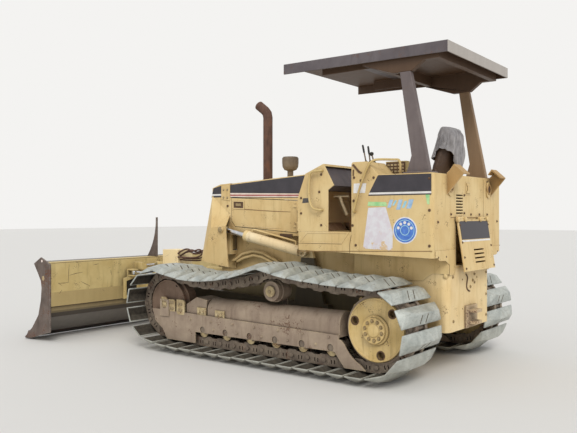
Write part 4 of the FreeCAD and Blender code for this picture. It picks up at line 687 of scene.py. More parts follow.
# Two narrow dark strips run up the trailing slope of each shoe, where its grooves are
def grooveMesh():
    look = chainLook
    halfLong, rise = linkPitch / 2 - look["gap"] / 2, look["ridge"]
    slope = math.atan2(rise, halfLong)
    length = math.hypot(rise, halfLong)

    def build(grid):
        for x in (-47, 43):
            middle = Vector((x / 1000, -halfLong / 2000, (look["linkHalf"] + look["plate"] + rise / 2) / 1000))
            bmesh.ops.create_cube(grid, size=1, matrix=Matrix.Translation(middle) @ Matrix.Rotation(slope, 4, "X")
                                  @ Matrix.Diagonal((0.013, length * 0.74 / 1000, 0.0016, 1)))
    return meshOf(build)


# One side plate of a link, with its two bolt windows and round ends
def linkPlateMesh():
    half, reach = chainLook["linkHalf"] - 1, linkPitch / 2
    outline = [(-reach + 2, -half), (-reach + 36, -half), (-reach + 50, -half + 12), (reach - 50, -half + 12),
               (reach - 36, -half), (reach - 2, -half), (reach - 2, half), (-reach + 2, half)]
    windows = [rectangle(-23, -8, -8, 30), rectangle(8, -8, 23, 30)]
    holder = plate("linkPlate", [outline] + windows, Vector((0, 0, 0)), (0, 1, 0), (0, 0, 1), 34, "oiledChainIron",
                   2.5)
    mesh = holder.data.copy()
    bpy.data.objects.remove(holder)
    return mesh


def chainPlaces():
    places = []
    for a, b in zip(joints, joints[1:] + joints[:1]):
        forward = Vector((0, -(b[0] - a[0]), b[1] - a[1])).normalized()
        across = Vector((-1, 0, 0))
        out = across.cross(forward)
        middle = at(trackCenter, (a[0] + b[0]) / 2, (a[1] + b[1]) / 2)
        places.append(Matrix.Translation(middle) @ Matrix((across, forward, out)).transposed().to_4x4())
    return places


def joinedMesh(meshes):
    grid = bmesh.new()
    for mesh, place in meshes:
        copy = mesh.copy()
        copy.transform(place)
        grid.from_mesh(copy)
        bpy.data.meshes.remove(copy)
    whole = bpy.data.meshes.new("joined")
    grid.to_mesh(whole)
    grid.free()
    return whole


def makeTracks():
    shoe, liner, groove, link = shoeMesh(), shoeMesh(True), grooveMesh(), linkPlateMesh()
    places = chainPlaces()
    flip = Matrix.Diagonal((-1, 1, 1, 1))
    acrossTrack = Matrix.Rotation(math.pi / 2, 4, "Y")
    turnedPin, bushing, boss = (meshOf(lambda grid: bmesh.ops.create_cone(
        grid, cap_ends=True, segments=sides, radius1=radius, radius2=radius, depth=depth, matrix=acrossTrack))
        for sides, radius, depth in ((20, 0.017, 0.206), (20, 0.028, 0.112), (24, 0.041, 0.037)))
    for sideName, mirror in (("left", Matrix.Identity(4)), ("right", flip)):
        shoes, liners, grooves, chain = [], [], [], []
        for place in places:
            shake = Matrix.Rotation(random.uniform(-0.012, 0.012), 4, "Y") @ Matrix.Translation(
                (random.uniform(-0.003, 0.003), 0, 0))
            for kind, group in ((shoe, shoes), (liner, liners), (groove, grooves)):
                group.append((kind, place @ shake))
            for low in (55, -90):
                chain.append((link, place @ Matrix.Translation((low / 1000, 0, 0))))
            back = place @ Matrix.Translation((0, -linkPitch / 2000, 0))
            chain += [(turnedPin, back), (bushing, back)]
            for middle in (-72.5, 72.5):
                chain.append((boss, back @ Matrix.Translation((middle / 1000, 0, 0))))
        for kind, group, finish in (("Shoes", shoes, "scouredGrouserSteel"), ("ShoeDirt", liners, "packedDirt"),
                                    ("ShoeGrooves", grooves, "grooveDark"), ("Links", chain, "oiledChainIron")):
            mesh = joinedMesh(group)
            mesh.transform(mirror)
            if sideName == "right":
                mesh.flip_normals()
            piece = newPiece(sideName + kind, mesh, finish, "tractor", 35)
            if kind == "Shoes":
                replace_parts(piece, "track_" + sideName)


makeTracks()
print("tracks made")

sideNames = ((1, "left"), (-1, "right"))
faces = {"hood": 428, "body": 697, "blade": 1425}  # mm from the middle to the side faces
rearFace = -378  # mm ahead of the sprocket axle, the plane of the rear panel
rearward = (0, 1, 0)

# Undercarriage fittings
wheelLook = {"hubBolts": 10, "hubCircle": 74, "holes": 3, "holeCircle": 195, "discFace": 892, "hubFace": 932,
             "rollers": 6, "firstRoller": 408, "rollerStep": 284, "carrierFace": 886, "guardFace": 905}
carrierLow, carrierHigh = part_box("carrier_rollers")
carrierPlace = (wheelLook["carrierFace"], chainLook["carrier"], (carrierLow.z + carrierHigh.z) * 500)
hubPlace = (wheelLook["hubFace"], 0, sprocketHeight)
discPlace = (wheelLook["discFace"], 0, sprocketHeight)
rollerPlaces = [wheelLook["firstRoller"] + wheelLook["rollerStep"] * i for i in range(wheelLook["rollers"])]

# name, finish, steps, place (out from the middle, ahead, up) and profile in mm
wheelRounds = [
    ("HubCap", "sprocketEnamel", 48, hubPlace, [(0, 8), (40, 8), (50, 5), (54, -1)]),
    ("HubFlange", "sprocketEnamel", 48, hubPlace, [(98, -38), (112, -36), (116, -30), (112, -22), (99, -20)]),
    ("DiscRim", "sprocketEnamel", 96, discPlace, [(226, -2), (232, 5), (242, 5), (247, -2), (247, -14)]),
    ("RustRing", "muddyFrameIron", 96, discPlace, [(244, -14), (252, -14), (268, -26), (268, -40)]),
    ("CarrierHub", "creamWornIron", 36, carrierPlace, [(0, 10), (38, 10), (47, 5), (49, -2)]),
    ("CarrierBolt", "muddyBolt", 20, carrierPlace, [(0, 18), (12, 18), (15, 14), (15, 9)]),
    # IdlerHole is painted shade: a dark disc on the idler where its hole is
    ("IdlerHole", "darkVoid", 28, (858, 2216, 609), [(0, 1.2), (12, 1.2), (15, 0.4), (16, -1)])]
for i in range(wheelLook["holes"]):
    turn = math.radians(43 + 120 * i)
    spot = (wheelLook["discFace"], -wheelLook["holeCircle"] * math.cos(turn),
            sprocketHeight + wheelLook["holeCircle"] * math.sin(turn))
    wheelRounds.append(("HoleRim%d" % i, "rustedBolt", 32, spot, [(27, -2), (27, 2), (31, 4), (36, 3), (38, -1)]))
for i, ahead in enumerate(rollerPlaces):
    wheelRounds += [("RollerCap%d" % i, "muddyFrameIron", 32, (892, ahead, 226),
                     [(0, 1), (16, 1), (22, -1), (38, -2), (50, -3), (58, -8), (60, -16)]),
                    ("RollerCollar%d" % i, "creamWornIron", 36, (881, ahead, 204),
                     [(0, 15), (20, 14), (34, 8), (47, 4), (50, -1)])]
hubTurns = [2 * math.pi * i / wheelLook["hubBolts"] + 0.2 for i in range(wheelLook["hubBolts"])]
axleBlocks = ((2345, 430, 66, 120), (2235, 420, 74, 104), (2118, 412, 96, 132))  # ahead, height, length, tallness
for side, sideName in sideNames:
    out = (side, 0, 0)
    for label, finish, steps, (x, ahead, z), profile in wheelRounds:
        turned(sideName + label, profile, at(side * x, ahead, z), out, finish, steps)
    ring = [at(side * wheelLook["hubFace"], wheelLook["hubCircle"] * math.cos(turn),
               sprocketHeight + wheelLook["hubCircle"] * math.sin(turn)) for turn in hubTurns]
    bolts(sideName + "HubBolts", ring, out, 24, "zincedBolt")
    row = [at(side * wheelLook["guardFace"], ahead, 312) for ahead in range(420, 2000, 260)]
    row += [at(side * wheelLook["guardFace"], ahead, 240) for ahead in range(550, 1900, 284)]
    bolts(sideName + "GuardBolts", row, out, 19, "muddyFrameIron")
    for i, (ahead, z) in enumerate(((1849, 392), (1620, 382))):
        plate(sideName + "RecoilPad%d" % i, [rectangle(-54, -34, 54, 34)], at(side * 884, ahead, z), (0, side, 0),
              (0, 0, 1), 14, "creamWornIron", 3)
        bolts(sideName + "PadBolts%d" % i, [at(side * 898, ahead + shift, z) for shift in (-26, 26)], out, 30,
              "creamWornIron")
    for i, (ahead, z, long, tall) in enumerate(axleBlocks):
        outline = [(-long / 2, -tall / 2 + 16), (-long / 2 + 16, -tall / 2), (long / 2, -tall / 2),
                   (long / 2, tall / 2 - 18), (long / 2 - 18, tall / 2), (-long / 2, tall / 2)]
        plate(sideName + "AxleBlock%d" % i, [outline], at(side * 886, ahead, z), (0, side, 0), (0, 0, 1), 22,
              "creamWornIron", 5)
        spots = [at(side * 908, ahead + u, z + v) for u, v in ((-16, 30), (16, 30), (-16, -26), (16, -26))]
        bolts(sideName + "BlockBolts%d" % i, spots, out, 22, "muddyBolt")
print("undercarriage fitted")

# Films, outlines as (ahead, z): charcoal bands over thin stripes that slope down a little to the rear
hoodFilms = (("HoodBand", [(1006, 1481), (1915, 1505), (1915, 1584), (1500, 1612), (955, 1649)], "charcoalFilm"),
             ("HoodStripeHigh", [(1000, 1471), (1915, 1489), (1915, 1504), (1000, 1478)], "paleFilm"),
             ("HoodStripeRed", [(1000, 1459), (1915, 1476), (1915, 1488), (1000, 1470)], "redFilm"),
             ("HoodStripeLow", [(1000, 1449), (1915, 1466), (1915, 1475), (1000, 1458)], "paleFilm"),
             ("HoodStripeShade", [(1000, 1443), (1915, 1459), (1915, 1465), (1000, 1448)], "charcoalFilm"),
             ("GuardBand", [(2032, 1497), (2160, 1497), (2143, 1556), (2060, 1574), (2032, 1578)], "charcoalFilm"),
             ("GuardStripe", [(2032, 1481), (2164, 1481), (2160, 1496), (2032, 1496)], "whiteFilm"),
             ("GuardShade", [(2032, 1463), (2168, 1463), (2164, 1480), (2032, 1480)], "charcoalFilm"))
bodyFilms = (("TankBand", [(172, 1464), (-366, 1464), (-366, 1596), (90, 1600), (99, 1590)], "charcoalFilm"),
             ("TankStripe", [(178, 1448), (-366, 1448), (-366, 1463), (173, 1463)], "whiteFilm"),
             ("TankLine", [(182, 1438), (-366, 1438), (-366, 1447), (179, 1447)], "charcoalFilm"),
             # SillShade and BendShade are painted shade: a shadow line under the sill frame, and the tank's lower edge
             # where it turns under
             ("SillShade", [(438, 1048), (878, 1045), (881, 1041), (434, 1044)], "grimeFilm"),
             ("BendShade", [(880, 976), (-374, 1014), (-374, 1008), (880, 970)], "grimeFilm"),
             ("CowlPatch", [(838, 1387), (753, 1392), (760, 1431), (830, 1428)], "cableGrey"))
leftFilms = (("leftTornLabel", [(231, 1016), (-36, 1006), (-40, 1150), (24, 1347), (182, 1342)], "tornLilacFilm"),
             ("leftGreenSmear", [(189, 1358), (11, 1353), (20, 1386), (182, 1391)], "greenFilm"),
             ("leftGreenPatch", [(-318, 1440), (-352, 1440), (-350, 1362), (-332, 1368)], "greenFilm"),
             ("leftDiscRim", circle(-144, 1166, 104), "whiteFilm"),
             ("leftConsoleLabel", [(322, 1462), (212, 1462), (200, 1540), (318, 1540)], "whiteFilm"))
for side, sideName in sideNames:
    for face, films in (("hood", hoodFilms), ("body", bodyFilms)):
        for label, outline, finish in films:
            sideFilm(sideName + label, outline, side * faces[face], finish)
for label, outline, finish in leftFilms:
    sideFilm(label, outline, faces["body"], finish)
strips = ((-14, 1404, 30, 62), (-58, 1398, 18, 40), (-92, 1404, 34, 78), (-142, 1392, 22, 52), (-180, 1404, 40, 70))
for i, (ahead, z, wide, tall) in enumerate(strips):
    outline = [(ahead, z), (ahead - wide, z), (ahead - wide + 24, z - tall), (ahead + 24, z - tall)]
    sideFilm("leftPaleStripe%d" % i, outline, faces["body"], "paleBlueFilm" if i % 2 else "skyBlueFilm")
discFilm, dotFilm = faces["body"] + 0.8, faces["body"] + 1.4  # each film lies on the one below
sideFilm("leftDisc", circle(-144, 1166, 94), discFilm, "blueFilm", thickness=0.6)
for label, outer, inner in (("leftDiscLine", 82, 77), ("leftDiscCore", 40, 34)):
    sidePlate(label, [circle(-144, 1166, radius) for radius in (outer, inner)], dotFilm, 0.4, "paleBlueFilm", 0.1)
for i in range(5):
    turn = math.radians(18 + 36 * i)
    dot = circle(-144 + 59 * math.cos(turn), 1166 + 59 * math.sin(turn), 12, 20)
    sideFilm("leftDiscDot%d" % i, dot, dotFilm, "whiteFilm", thickness=0.4)
print("films laid")

# Panel bolts, latches and creases: name, face or mm, width or thickness, finish and outlines, all as (ahead, z)
panelBolts = (("PanelBolts", faces["body"], 17, "rustedBolt",
               ((639, 1625), (850, 1431), (850, 1300), (640, 1200), (660, 1480), (316, 1588), (252, 1562), (133, 1582),
                (320, 1400), (330, 1200), (-350, 1050), (300, 1040), (-350, 1560), (-350, 1320))),
              ("HoodBolts", faces["hood"], 15, "zincedBolt",
               ((1105, 995), (1115, 1380), (1115, 1201), (1060, 1300), (1010, 1120))),
              ("StrapBolts", faces["hood"] + 6, 17, "muddyBolt", ((2000, 1537), (1949, 1536), (2000, 1461), (1949, 1459))),
              ("GuardSideBolts", faces["hood"], 20, "rustedBolt", ((1949, 1376), (1949, 1243))))
crease = [(1846, 1351), (1640, 1341), (1520, 1333), (1300, 1322), (1169, 1317), (1169, 1312), (1380, 1318),
          (1560, 1328), (1700, 1336), (1846, 1343)]
doorPlates = (("LatchFrame", 5, "sunFadedYellowEnamel", 1.2, None,
               [[(1879, 1429), (1733, 1424), (1733, 1342), (1879, 1348)],
                [(1870, 1420), (1742, 1415), (1742, 1351), (1870, 1357)]]),
              # LatchRecess is painted shade: the recess inside the latch frame is brown
              ("LatchRecess", 1, "brownUnderside", 0.2, None, [[(1869, 1419), (1743, 1414), (1743, 1352), (1869, 1358)]]),
              ("DoorPull", 7, "zincedBolt", 1.5, "yellow_paint",
               [[(1838, 1400), (1772, 1398), (1772, 1374), (1838, 1376)]]),
              # DoorCrease is painted shade: a dark line along the door's crease
              ("DoorCrease", 0.8, "grimeFilm", 0.2, None, [crease]),
              ("DoorFold", 2.4, "sunFadedYellowEnamel", 0.8, None,
               [[(1830, 1176), (1286, 1160), (1286, 1166), (1830, 1183)]]))
strap = [(1919, 1431), (2030, 1445), (2030, 1576), (1919, 1584)]
hoodCatch = [(1286, 1112), (1148, 1108), (1148, 1082), (1286, 1086)]
sill = [[(798, 1138), (363, 1143), (434, 1049), (876, 1046)], [(786, 1130), (386, 1134), (442, 1058), (862, 1055)]]
for side, sideName in sideNames:
    for label, x, width, finish, spots in panelBolts:
        bolts(sideName + label, [at(side * x, ahead, z) for ahead, z in spots], (side, 0, 0), width, finish)
    for label, thickness, finish, round, slot, loops in doorPlates:
        sidePlate(sideName + label, loops, side * faces["hood"], thickness, finish, round, "engine_door_" + sideName)
    sidePlate(sideName + "HoodStrap", [strap], side * faces["hood"], 6, "sunFadedYellowEnamel", 1.5)
    sidePlate(sideName + "HoodCatch", [hoodCatch], side * faces["hood"], 9, "brownUnderside", 2)
    sidePlate(sideName + "SillFrame", sill, side * faces["body"], 3, "sunFadedYellowEnamel")

# Rear details
rearFilm("rearLatchPlate", rectangle(-8, 1451, 95, 1555), rearFace, "sunFadedYellowEnamel", thickness=3)
handle = [(12, 1544), (76, 1544), (76, 1528), (56, 1528), (56, 1480), (76, 1480), (76, 1464), (12, 1464), (12, 1480),
          (32, 1480), (32, 1528), (12, 1528)]
# The gap is painted shade: a dark outline around the latch handle, behind it
gap = [(x + (4 if x > 44 else -4), z + (4 if z > 1504 else -4)) for x, z in handle]
rearFilm("rearLatchGap", gap, rearFace - 3, "grimeFilm", thickness=0.6)
rearPlate("rearLatchHandle", [handle], rearFace - 3, 7, "sunFadedYellowEnamel", 2)
for label, outline in (("Upright", rectangle(-294, 1268, -288, 1588)), ("Level", rectangle(-380, 1262, 380, 1267))):
    rearFilm("rearSeam" + label, outline, rearFace, "grimeFilm")
for i, x in enumerate((292, 155, -158, -313)):
    turned("rearHingeKnob%d" % i, [(0, 26), (14, 26), (21, 20), (22, 0), (17, -4)], at(x, -392, 1249), rearward,
           "sunFadedYellowEnamel", 24, "rear_hatch")
for side, sideName in sideNames:
    for label, finish, profile in (("LampRim", "visorEnamel", [(30, 2), (36, 7), (42, 7), (46, 2), (46, -2)]),
                                   ("LampDark", "brownUnderside", [(0, 1.4), (29, 1.4), (30.5, 0.4), (31, -1)])):
        turned(sideName + label, profile, at(side * 394, -390, 1508), rearward, finish, 40)
turned("caseSideKnob", [(0, 18), (16, 18), (24, 12), (26, 0), (26, -6)], at(413, -352, 808), rearward,
       "sunFadedYellowEnamel", 28)
rearBolts = (("rearPanelBolts", 17, "rustedBolt",
              ((375, 1572), (-375, 1572), (375, 1290), (-375, 1290), (610, 1230), (-610, 1230), (610, 960), (-610, 960),
               (470, 960), (-470, 960), (-20, 1290), (-200, 1290), (118, 1300), (118, 1446))),
             ("caseBolts", 20, "zincedBolt",
              ((-350, 790), (-93, 789), (-60, 740), (-93, 721), (-8, 690), (340, 792), (-350, 600), (330, 440),
               (-350, 420))))
for name, width, finish, spots in rearBolts:
    bolts(name, [at(x, rearFace, z) for x, z in spots], rearward, width, finish)
hook = [at(x, -380, z) for x, z in ((86, 800), (48, 782), (62, 738), (76, 700), (52, 664), (8, 655))]
tube("caseHook", [hook], 6, "brownUnderside")
tilt = math.radians(9)
hinge = at(0, -391, 1262)
hatchBack = Vector((0, math.cos(tilt), math.sin(tilt)))
hatchUp = Vector((0, -math.sin(tilt), math.cos(tilt)))


# A point on the face of the ajar hatch, drop mm below its hinge line
def onHatch(x, drop):
    return hinge + Vector((x / 1000, math.sin(tilt) * drop / 1000 + math.cos(tilt) * 7 / 1000,
                           -math.cos(tilt) * drop / 1000 + math.sin(tilt) * 7 / 1000))


for label, low, high, thickness, finish, round in (("hatchPlate", -176, -30, 3, "charcoalFilm", 0.6),
                                                   ("hatchPlateLine", -196, -182, 1, "whiteFilm", 0.2)):
    plate(label, [rectangle(-270, low, 318, high)], onHatch(0, 0), (-1, 0, 0), hatchUp, thickness, finish, round,
          "rear_hatch")
hatchSpots = ((270, 60), (270, 200), (270, 320), (270, 410), (-320, 60), (-320, 240), (-320, 410))
bolts("hatchBolts", [onHatch(x, drop) for x, drop in hatchSpots], hatchBack, 15, "rustedBolt", "rear_hatch")
print("panels fitted")

# Blade and cylinders
bracketFrame = [[(541, 368), (329, 368), (329, 632), (541, 590)], [(512, 396), (358, 396), (358, 596), (512, 562)]]
bracketFace, bladeFace = 3402, 3458  # mm ahead, the faces that look to the rear
earPatch = [(3592, 662), (3562, 668), (3548, 640), (3566, 618), (3588, 628)]
for side, sideName in sideNames:
    loops = [[(side * x, z) for x, z in loop] for loop in bracketFrame]
    rearPlate(sideName + "BladeFrame", loops, bracketFace, 16, "bladeYellowEnamel", 3, "blade_carrier")
    # Painted shade: a dark sheet fills the bracket frame's hole
    rearPlate(sideName + "BladeFrameDark", loops[1:], bracketFace, 1.5, "darkVoid", 0.3, "blade_carrier")
    sidePlate(sideName + "EarSpot", [circle(3593, 819, 13, 24)], side * faces["blade"], 1.2, "paleFilm", 0.3, "blade")
    sidePlate(sideName + "EarPatch", [earPatch], side * faces["blade"], 1.0, "creamWornIron", 0.3, "blade")
scratches = (((1196, 777), (1201, 690), (1207, 590)), ((1207, 592), (1258, 587), (1327, 593)),
             ((1196, 663), (1110, 678), (1030, 686)), ((1312, 485), (1298, 500), (1281, 522)),
             ((1054, 592), (1000, 560), (940, 535)), ((1126, 800), (1100, 792), (1086, 782)),
             ((898, 754), (860, 757), (831, 764)), ((668, 691), (664, 660), (656, 633)),
             ((780, 487), (770, 474), (755, 464)), ((1330, 596), (1305, 580), (1281, 562)))
for i, line in enumerate(scratches):
    steep = abs(line[2][1] - line[0][1]) > abs(line[2][0] - line[0][0])
    shift = (3.2, 0.6) if steep else (0.6, 3.2)
    back = [(x + shift[0] * share, z + shift[1] * share) for (x, z), share in zip(line[::-1], (0.5, 1.6, 0.5))]
    rearFilm("bladeScratch%d" % i, list(line) + back, bladeFace, "crackFilm", "blade", 0.6)
# Worn pale and painted highlight: a light strip along the blade's top edge
rearFilm("bladeRimWearAndHighlight", rectangle(-1412, 799, 1412, 805), bladeFace, "zincedBolt", "blade", 0.6)
pinHeads = (("LugPinHead", "zincedBolt", 28, "c_frame", (515, 986, 954), [(0, 8), (14, 8), (20, 3), (22, -2)]),
            ("WingPinHead", "zincedBolt", 28, "tractor", (559, 1930, 1145), [(0, 8), (18, 8), (26, 3), (30, -2)]),
            ("TrunnionCap", "rustedBolt", 32, "tractor", (437, 830, 420), [(0, 8), (36, 8), (48, 4), (52, -2)]))
way = Vector((0, -0.9802, 0.1983))  # along the lift cylinder
over = Vector((0, 0.1983, 0.9802))  # square to it, upward
pipeRoute = ((0.09, 0.046), (0.09, 0.076), (0.13, 0.078), (0.57, 0.078), (0.62, 0.076), (0.62, 0.05))
for side, sideName in sideNames:
    for label, finish, steps, body, (x, ahead, z), profile in pinHeads:
        turned(sideName + label, profile, at(side * x, ahead, z), (side, 0, 0), finish, steps, body)
    base = at(side * 485, 986, 954)
    body = "lift_barrel_" + sideName
    turned(sideName + "LiftGland", [(26, 52), (44, 52), (54, 46), (54, 10), (50, 4), (50, -4)], base + way * 0.640, way,
           "sunFadedYellowEnamel", 40, body)
    tube(sideName + "LiftPipe", [[base + way * along + over * rise for along, rise in pipeRoute]], 8,
         "sunFadedYellowEnamel", body)
for sideName, outer, inner in (("left", 405, 250), ("right", -250, -405)):
    rearPlate(sideName + "FanShroud", [rectangle(outer, 945, inner, 1095)], 1952, 3, "sunFadedYellowEnamel")
for name, radius, route in (("pedalRod", 7, ((604, 1443), (520, 1443), (452, 1441))),
                            ("pedalArm", 13, ((541, 1438), (520, 1380), (499, 1344), (470, 1284)))):
    tube(name, [[at(560, ahead, z) for ahead, z in route]], radius, "muddyBolt")
for i, (x, rise, reach) in enumerate(((40, 905, 2660), (75, 888, 2600), (110, 918, 2640))):
    route = [at(x, 2992, rise - 60), at(x, 2930, rise - 20), at(x - 20, 2850, rise), at(x + 10, 2760, rise - 34),
             at(x, reach, rise + 6), at(x, reach - 40, rise - 60), at(x, reach + 120, rise - 110),
             at(x, 2992, rise - 96)]
    tube("towerPipe%d" % i, [route], 9, "rustedPipe", "c_frame")
grilleFace = 400
# Painted shade: a dark sheet behind the grille bars
sidePlate("consoleGrilleDark", [rectangle(182, 1604, 8, 1722)], grilleFace, 1.5, "brownUnderside", 0.4)
cells = [rectangle(174 - 33 * column, 1612 + 27 * row, 154 - 33 * column, 1625 + 27 * row) for column in range(5)
         for row in range(4)]
sidePlate("consoleGrilleBars", cells, grilleFace + 1.5, 3, "creamWornIron", 0.8)
print("cylinders fitted")

# Grab rails with bent corners, and the levers on the console
railLook = {"radius": 9.5,
            "cowl": ((697, 625, 1656), (716, 625, 1656), (731, 628, 1656), (731, 650, 1655), (731, 735, 1650),
                     (731, 742, 1560), (731, 747, 1440), (731, 715, 1340), (731, 650, 1328), (731, 628, 1327),
                     (716, 625, 1327), (697, 625, 1327)),
            "tank": ((697, 303, 1309), (716, 303, 1309), (731, 302, 1312), (731, 295, 1335), (731, 250, 1480),
                     (721, 172, 1688), (701, 130, 1724), (660, 80, 1728), (570, 20, 1728), (570, -26, 1728),
                     (570, -38, 1690), (570, -38, 1650), (570, -38, 1604))}
rails = [[at(side * x, ahead, z) for x, ahead, z in railLook[kind]] for side in (1, -1) for kind in ("cowl", "tank")]
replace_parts(tube("grabRails", rails, railLook["radius"], "railEnamel"), "grab_handles")
leverLook = {"stem": 6, "x": 500, "foot": 1714, "feet": (320, 280, 246), "tops": ((352, 1862), (300, 1848), (268, 1792))}
stems = [[at(leverLook["x"], foot, leverLook["foot"]), at(leverLook["x"], foot + 4, leverLook["foot"] + 30),
          at(leverLook["x"], ahead, z)] for foot, (ahead, z) in zip(leverLook["feet"], leverLook["tops"])]
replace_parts(tube("leverStems", stems, leverLook["stem"], "dustyPlastic"), "control_levers")
rodGrip = [(6.5, -58), (8, -52), (8.5, -20), (8, 4), (5, 11), (0, 13)]
knobGrip = [(7, -16), (13, -12), (18, -2), (17, 8), (9, 15), (0, 16)]
for i, (stem, grip) in enumerate(zip(stems, (rodGrip, rodGrip, knobGrip))):
    turned("leverGrip%d" % i, grip, stem[2], stem[2] - stem[0], "agedRubber", 24)
    turned("leverBoot%d" % i, [(21, 0), (21, 5), (15, 9), (12, 18), (8, 24), (6, 26)], stem[0], (0, 0, 1), "agedRubber",
           28)
for name, thickness, outline in (
        ("consoleHinge", 5, [(331, 1690), (319, 1697), (262, 1638), (241, 1628), (247, 1618), (272, 1626)]),
        ("consoleStay", 4, [(326, 1652), (316, 1652), (318, 1604), (328, 1604)])):
    sidePlate(name, [outline], faces["body"], thickness, "rustedBolt", 1)
for sideName, x, low, high in (("left", 350, -310, 270), ("right", -350, -330, 330)):
    plate(sideName + "ToeBoard", [rectangle(low, 0, high, 98)], at(x, 800, 1149), (1, 0, 0), (0, -0.72, 0.69), 4,
          "dustyMat", 1)
print("rails and levers fitted")

# Seat: two padded shapes swollen by cloth pressure, and a cover cloth thrown over the back
seatLook = {"voxel": 0.012, "pressure": 4.0, "frames": 18, "cap": 0.018}


def swollenPad(name, node, shrink, taper=0.0, body="tractor"):
    low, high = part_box(node)
    middle = (low + high) / 2
    mesh = nodes[node].data.copy()
    mesh.transform(Matrix.Translation(middle) @ Matrix.Diagonal((*shrink, 1)) @ Matrix.Translation(-middle))
    for vertex in mesh.vertices:
        rise = max(0.0, (vertex.co.z - low.z) / (high.z - low.z)) ** 2
        vertex.co.x = vertex.co.x * (1 - taper * rise) - 0.09 * taper * rise
        vertex.co.y += 0.1 * taper * rise
    pad = bpy.data.objects.new(name, mesh)
    scene.collection.objects.link(pad)
    remesh = pad.modifiers.new("remesh", "REMESH")
    remesh.mode = "VOXEL"
    remesh.voxel_size = seatLook["voxel"]
    bpy.context.view_layer.update()
    evenMesh = shownMesh(pad)
    pad.modifiers.clear()
    pad.data = evenMesh
    rest = [v.co.copy() for v in evenMesh.vertices]
    cloth = pad.modifiers.new("cloth", "CLOTH")
    cloth.settings.use_pressure = True
    cloth.settings.uniform_pressure_force = seatLook["pressure"]
    cloth.settings.effector_weights.gravity = 0
    cloth.settings.quality = 4
    scene.frame_start, scene.frame_end = 1, seatLook["frames"]
    for step in range(1, seatLook["frames"] + 1):
        scene.frame_set(step)
    swollen = shownMesh(pad)
    pad.modifiers.clear()
    pad.data = swollen
    for vertex, start in zip(swollen.vertices, rest):
        move = vertex.co - start
        if move.length > seatLook["cap"]:
            vertex.co = start + move.normalized() * seatLook["cap"]
    scene.frame_set(1)
    mesh = pad.data
    mesh.materials.clear()
    mesh.materials.append(finishes["crackedVinyl"])
    mesh.shade_smooth()
    pad.modifiers.new("smooth", "SUBSURF").levels = 1
    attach(pad, body)
    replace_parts(pad, node)
    return pad


cushionPad = swollenPad("seatCushionPad", "seat_cushion", (0.93, 0.93, 0.8))
backPad = swollenPad("seatBackPad", "seat_backrest", (0.93, 0.8, 0.95), 0.4)

# The cover cloth hangs over the seat back: closed above, low at the rear and right, open on the left
coverLook = {"around": 110, "rows": 34, "half": (226, 92), "middle": (-12, -172), "shoulder": 1965, "top": 2072,
             "frames": 14, "cap": 0.07}
coverHem = [(-180, 1715), (-125, 1690), (-96, 1715), (-78, 1835), (-60, 1868), (-20, 1882), (12, 1890), (34, 1800),
            (58, 1752), (110, 1740), (180, 1715)]


def hemAt(turn):
    for (a, low), (b, high) in zip(coverHem, coverHem[1:]):
        if a <= turn <= b:
            return low + (high - low) * (turn - a) / (b - a)
    return coverHem[0][1]


def coverMesh():
    look = coverLook

    def build(grid):
        rings = []
        for row in range(look["rows"] + 1):
            climb = row / look["rows"]
            ring = []
            for i in range(look["around"]):
                degrees = 360 * i / look["around"] - 180
                turn = math.radians(degrees)
                corner = (abs(math.cos(turn)) ** 3 + abs(math.sin(turn)) ** 3) ** (-1 / 3)
                wall = min(1.0, climb / 0.62)
                dome = max(0.0, (climb - 0.62) / 0.38) * math.pi / 2
                hem = hemAt(degrees)
                z = hem + (look["shoulder"] - hem) * wall + (look["top"] - look["shoulder"]) * math.sin(dome)
                lean = max(0.0, (z - 1650) / 420)
                share = corner * (1.06 - 0.3 * wall * lean) * math.cos(dome) ** 0.75
                fold = noise.noise((math.cos(turn) * 2.1, math.sin(turn) * 2.1, z / 210)) * 34
                fold += (abs(noise.noise((math.cos(turn) * 6, math.sin(turn) * 6, z / 330 + 7))) - 0.25) * 34
                fold *= math.cos(dome) * 0.7 + 0.3
                x = look["middle"][0] + math.cos(turn) * (look["half"][0] * share + fold) - 36 * lean
                ahead = look["middle"][1] + math.sin(turn) * (look["half"][1] * share + fold) - 44 * lean
                z -= 70 * max(0.0, x / 230) * min(1.0, climb * 1.3)
                ring.append(grid.verts.new(at(x, ahead, z)))
            rings.append(ring)
        for low, high in zip(rings[:-1], rings[1:-1]):
            for i in range(look["around"]):
                j = (i + 1) % look["around"]
                grid.faces.new((low[i], low[j], high[j], high[i]))
        crown = grid.verts.new(sum((v.co for v in rings[-2]), Vector()) / look["around"] + Vector((0, 0, 0.006)))
        for i in range(look["around"]):
            grid.faces.new((rings[-2][i], rings[-2][(i + 1) % look["around"]], crown))
        for vertex in rings[-1]:
            grid.verts.remove(vertex)
    return meshOf(build)


cover = newPiece("seatCover", coverMesh(), "dustyCoverCloth", "tractor", 180)
start = [v.co.copy() for v in cover.data.vertices]
for pad in (backPad, cushionPad):
    pad.modifiers.new("stop", "COLLISION")
    pad.collision.thickness_outer = 0.008
drape = cover.modifiers.new("drape", "CLOTH")
drape.settings.quality = 6
drape.settings.mass = 0.3
drape.settings.bending_stiffness = 0.6
drape.collision_settings.distance_min = 0.006
scene.frame_start, scene.frame_end = 1, coverLook["frames"]
for step in range(1, coverLook["frames"] + 1):
    scene.frame_set(step)
hung = shownMesh(cover)
for vertex, first in zip(hung.vertices, start):
    move = vertex.co - first
    if move.length > coverLook["cap"]:
        vertex.co = first + move.normalized() * coverLook["cap"]
cover.modifiers.clear()
cover.data = hung
for pad in (backPad, cushionPad):
    pad.modifiers.remove(pad.modifiers["stop"])
scene.frame_set(1)
thick = cover.modifiers.new("thick", "SOLIDIFY")
thick.thickness = 0.0025
cover.modifiers.new("smooth", "SUBSURF").levels = 1
print("seat made")

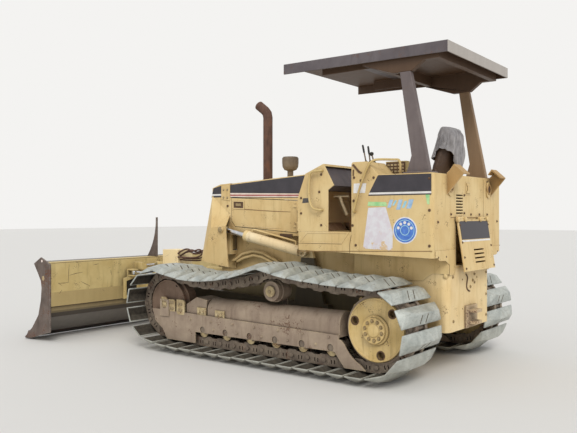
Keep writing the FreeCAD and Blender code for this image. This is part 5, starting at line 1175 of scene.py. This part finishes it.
# Studio: a pale floor, a soft sky and one wide lamp
floorMaterial, tree, shader = newFinish("paleFloor", {"Roughness": 0.9})
floorNoise = addNode(tree, "TexNoise", {"Scale": 0.6, "Detail": 3.0})
floorTone = addNode(tree, "Mix", {6: toLinear("#D6D5D2"), 7: toLinear("#DEDDDA")}, {0: floorNoise.outputs["Fac"]},
                    data_type="RGBA")
tree.links.new(floorTone.outputs[2], shader.inputs["Base Color"])
floorMesh = meshOf(lambda grid: bmesh.ops.create_grid(grid, x_segments=1, y_segments=1, size=60))
floor = bpy.data.objects.new("floor", floorMesh)
floorMesh.materials.append(floorMaterial)
floor.location = (0, 0, -0.001)
scene.collection.objects.link(floor)

world = bpy.data.worlds.new("sky")
scene.world = world
world.use_nodes = True
tree = world.node_tree
ambient = tree.nodes["Background"]
ambient.inputs["Color"].default_value = toLinear("#F3F4F6")
ambient.inputs["Strength"].default_value = 0.8
shown = addNode(tree, "Background", {"Color": toLinear("#F4F3F1"), "Strength": 1.0})
rays = addNode(tree, "LightPath")
mirrorRay = addNode(tree, "Math", {}, {0: rays.outputs["Is Camera Ray"], 1: rays.outputs["Is Glossy Ray"]},
                    operation="MAXIMUM")
glassRay = addNode(tree, "Math", {}, {0: mirrorRay.outputs[0], 1: rays.outputs["Is Transmission Ray"]},
                   operation="MAXIMUM")
blendSky = addNode(tree, "MixShader", {}, {0: glassRay.outputs[0], 1: ambient.outputs[0], 2: shown.outputs[0]})
tree.links.new(blendSky.outputs[0], tree.nodes["World Output"].inputs["Surface"])

lampLook = {"strength": 1.6, "angle": 25.0, "from": (4.5, 4.5, 5.6)}
sun = bpy.data.lights.new("softSun", "SUN")
sun.energy = lampLook["strength"]
sun.angle = math.radians(lampLook["angle"])
sun.color = (1.0, 0.97, 0.92)
sunObject = bpy.data.objects.new("softSun", sun)
sunObject.rotation_mode = "QUATERNION"
sunObject.rotation_quaternion = Vector(lampLook["from"]).to_track_quat("Z", "Y")
scene.collection.objects.link(sunObject)
scene.view_settings.view_transform = "Standard"
print("studio lit")
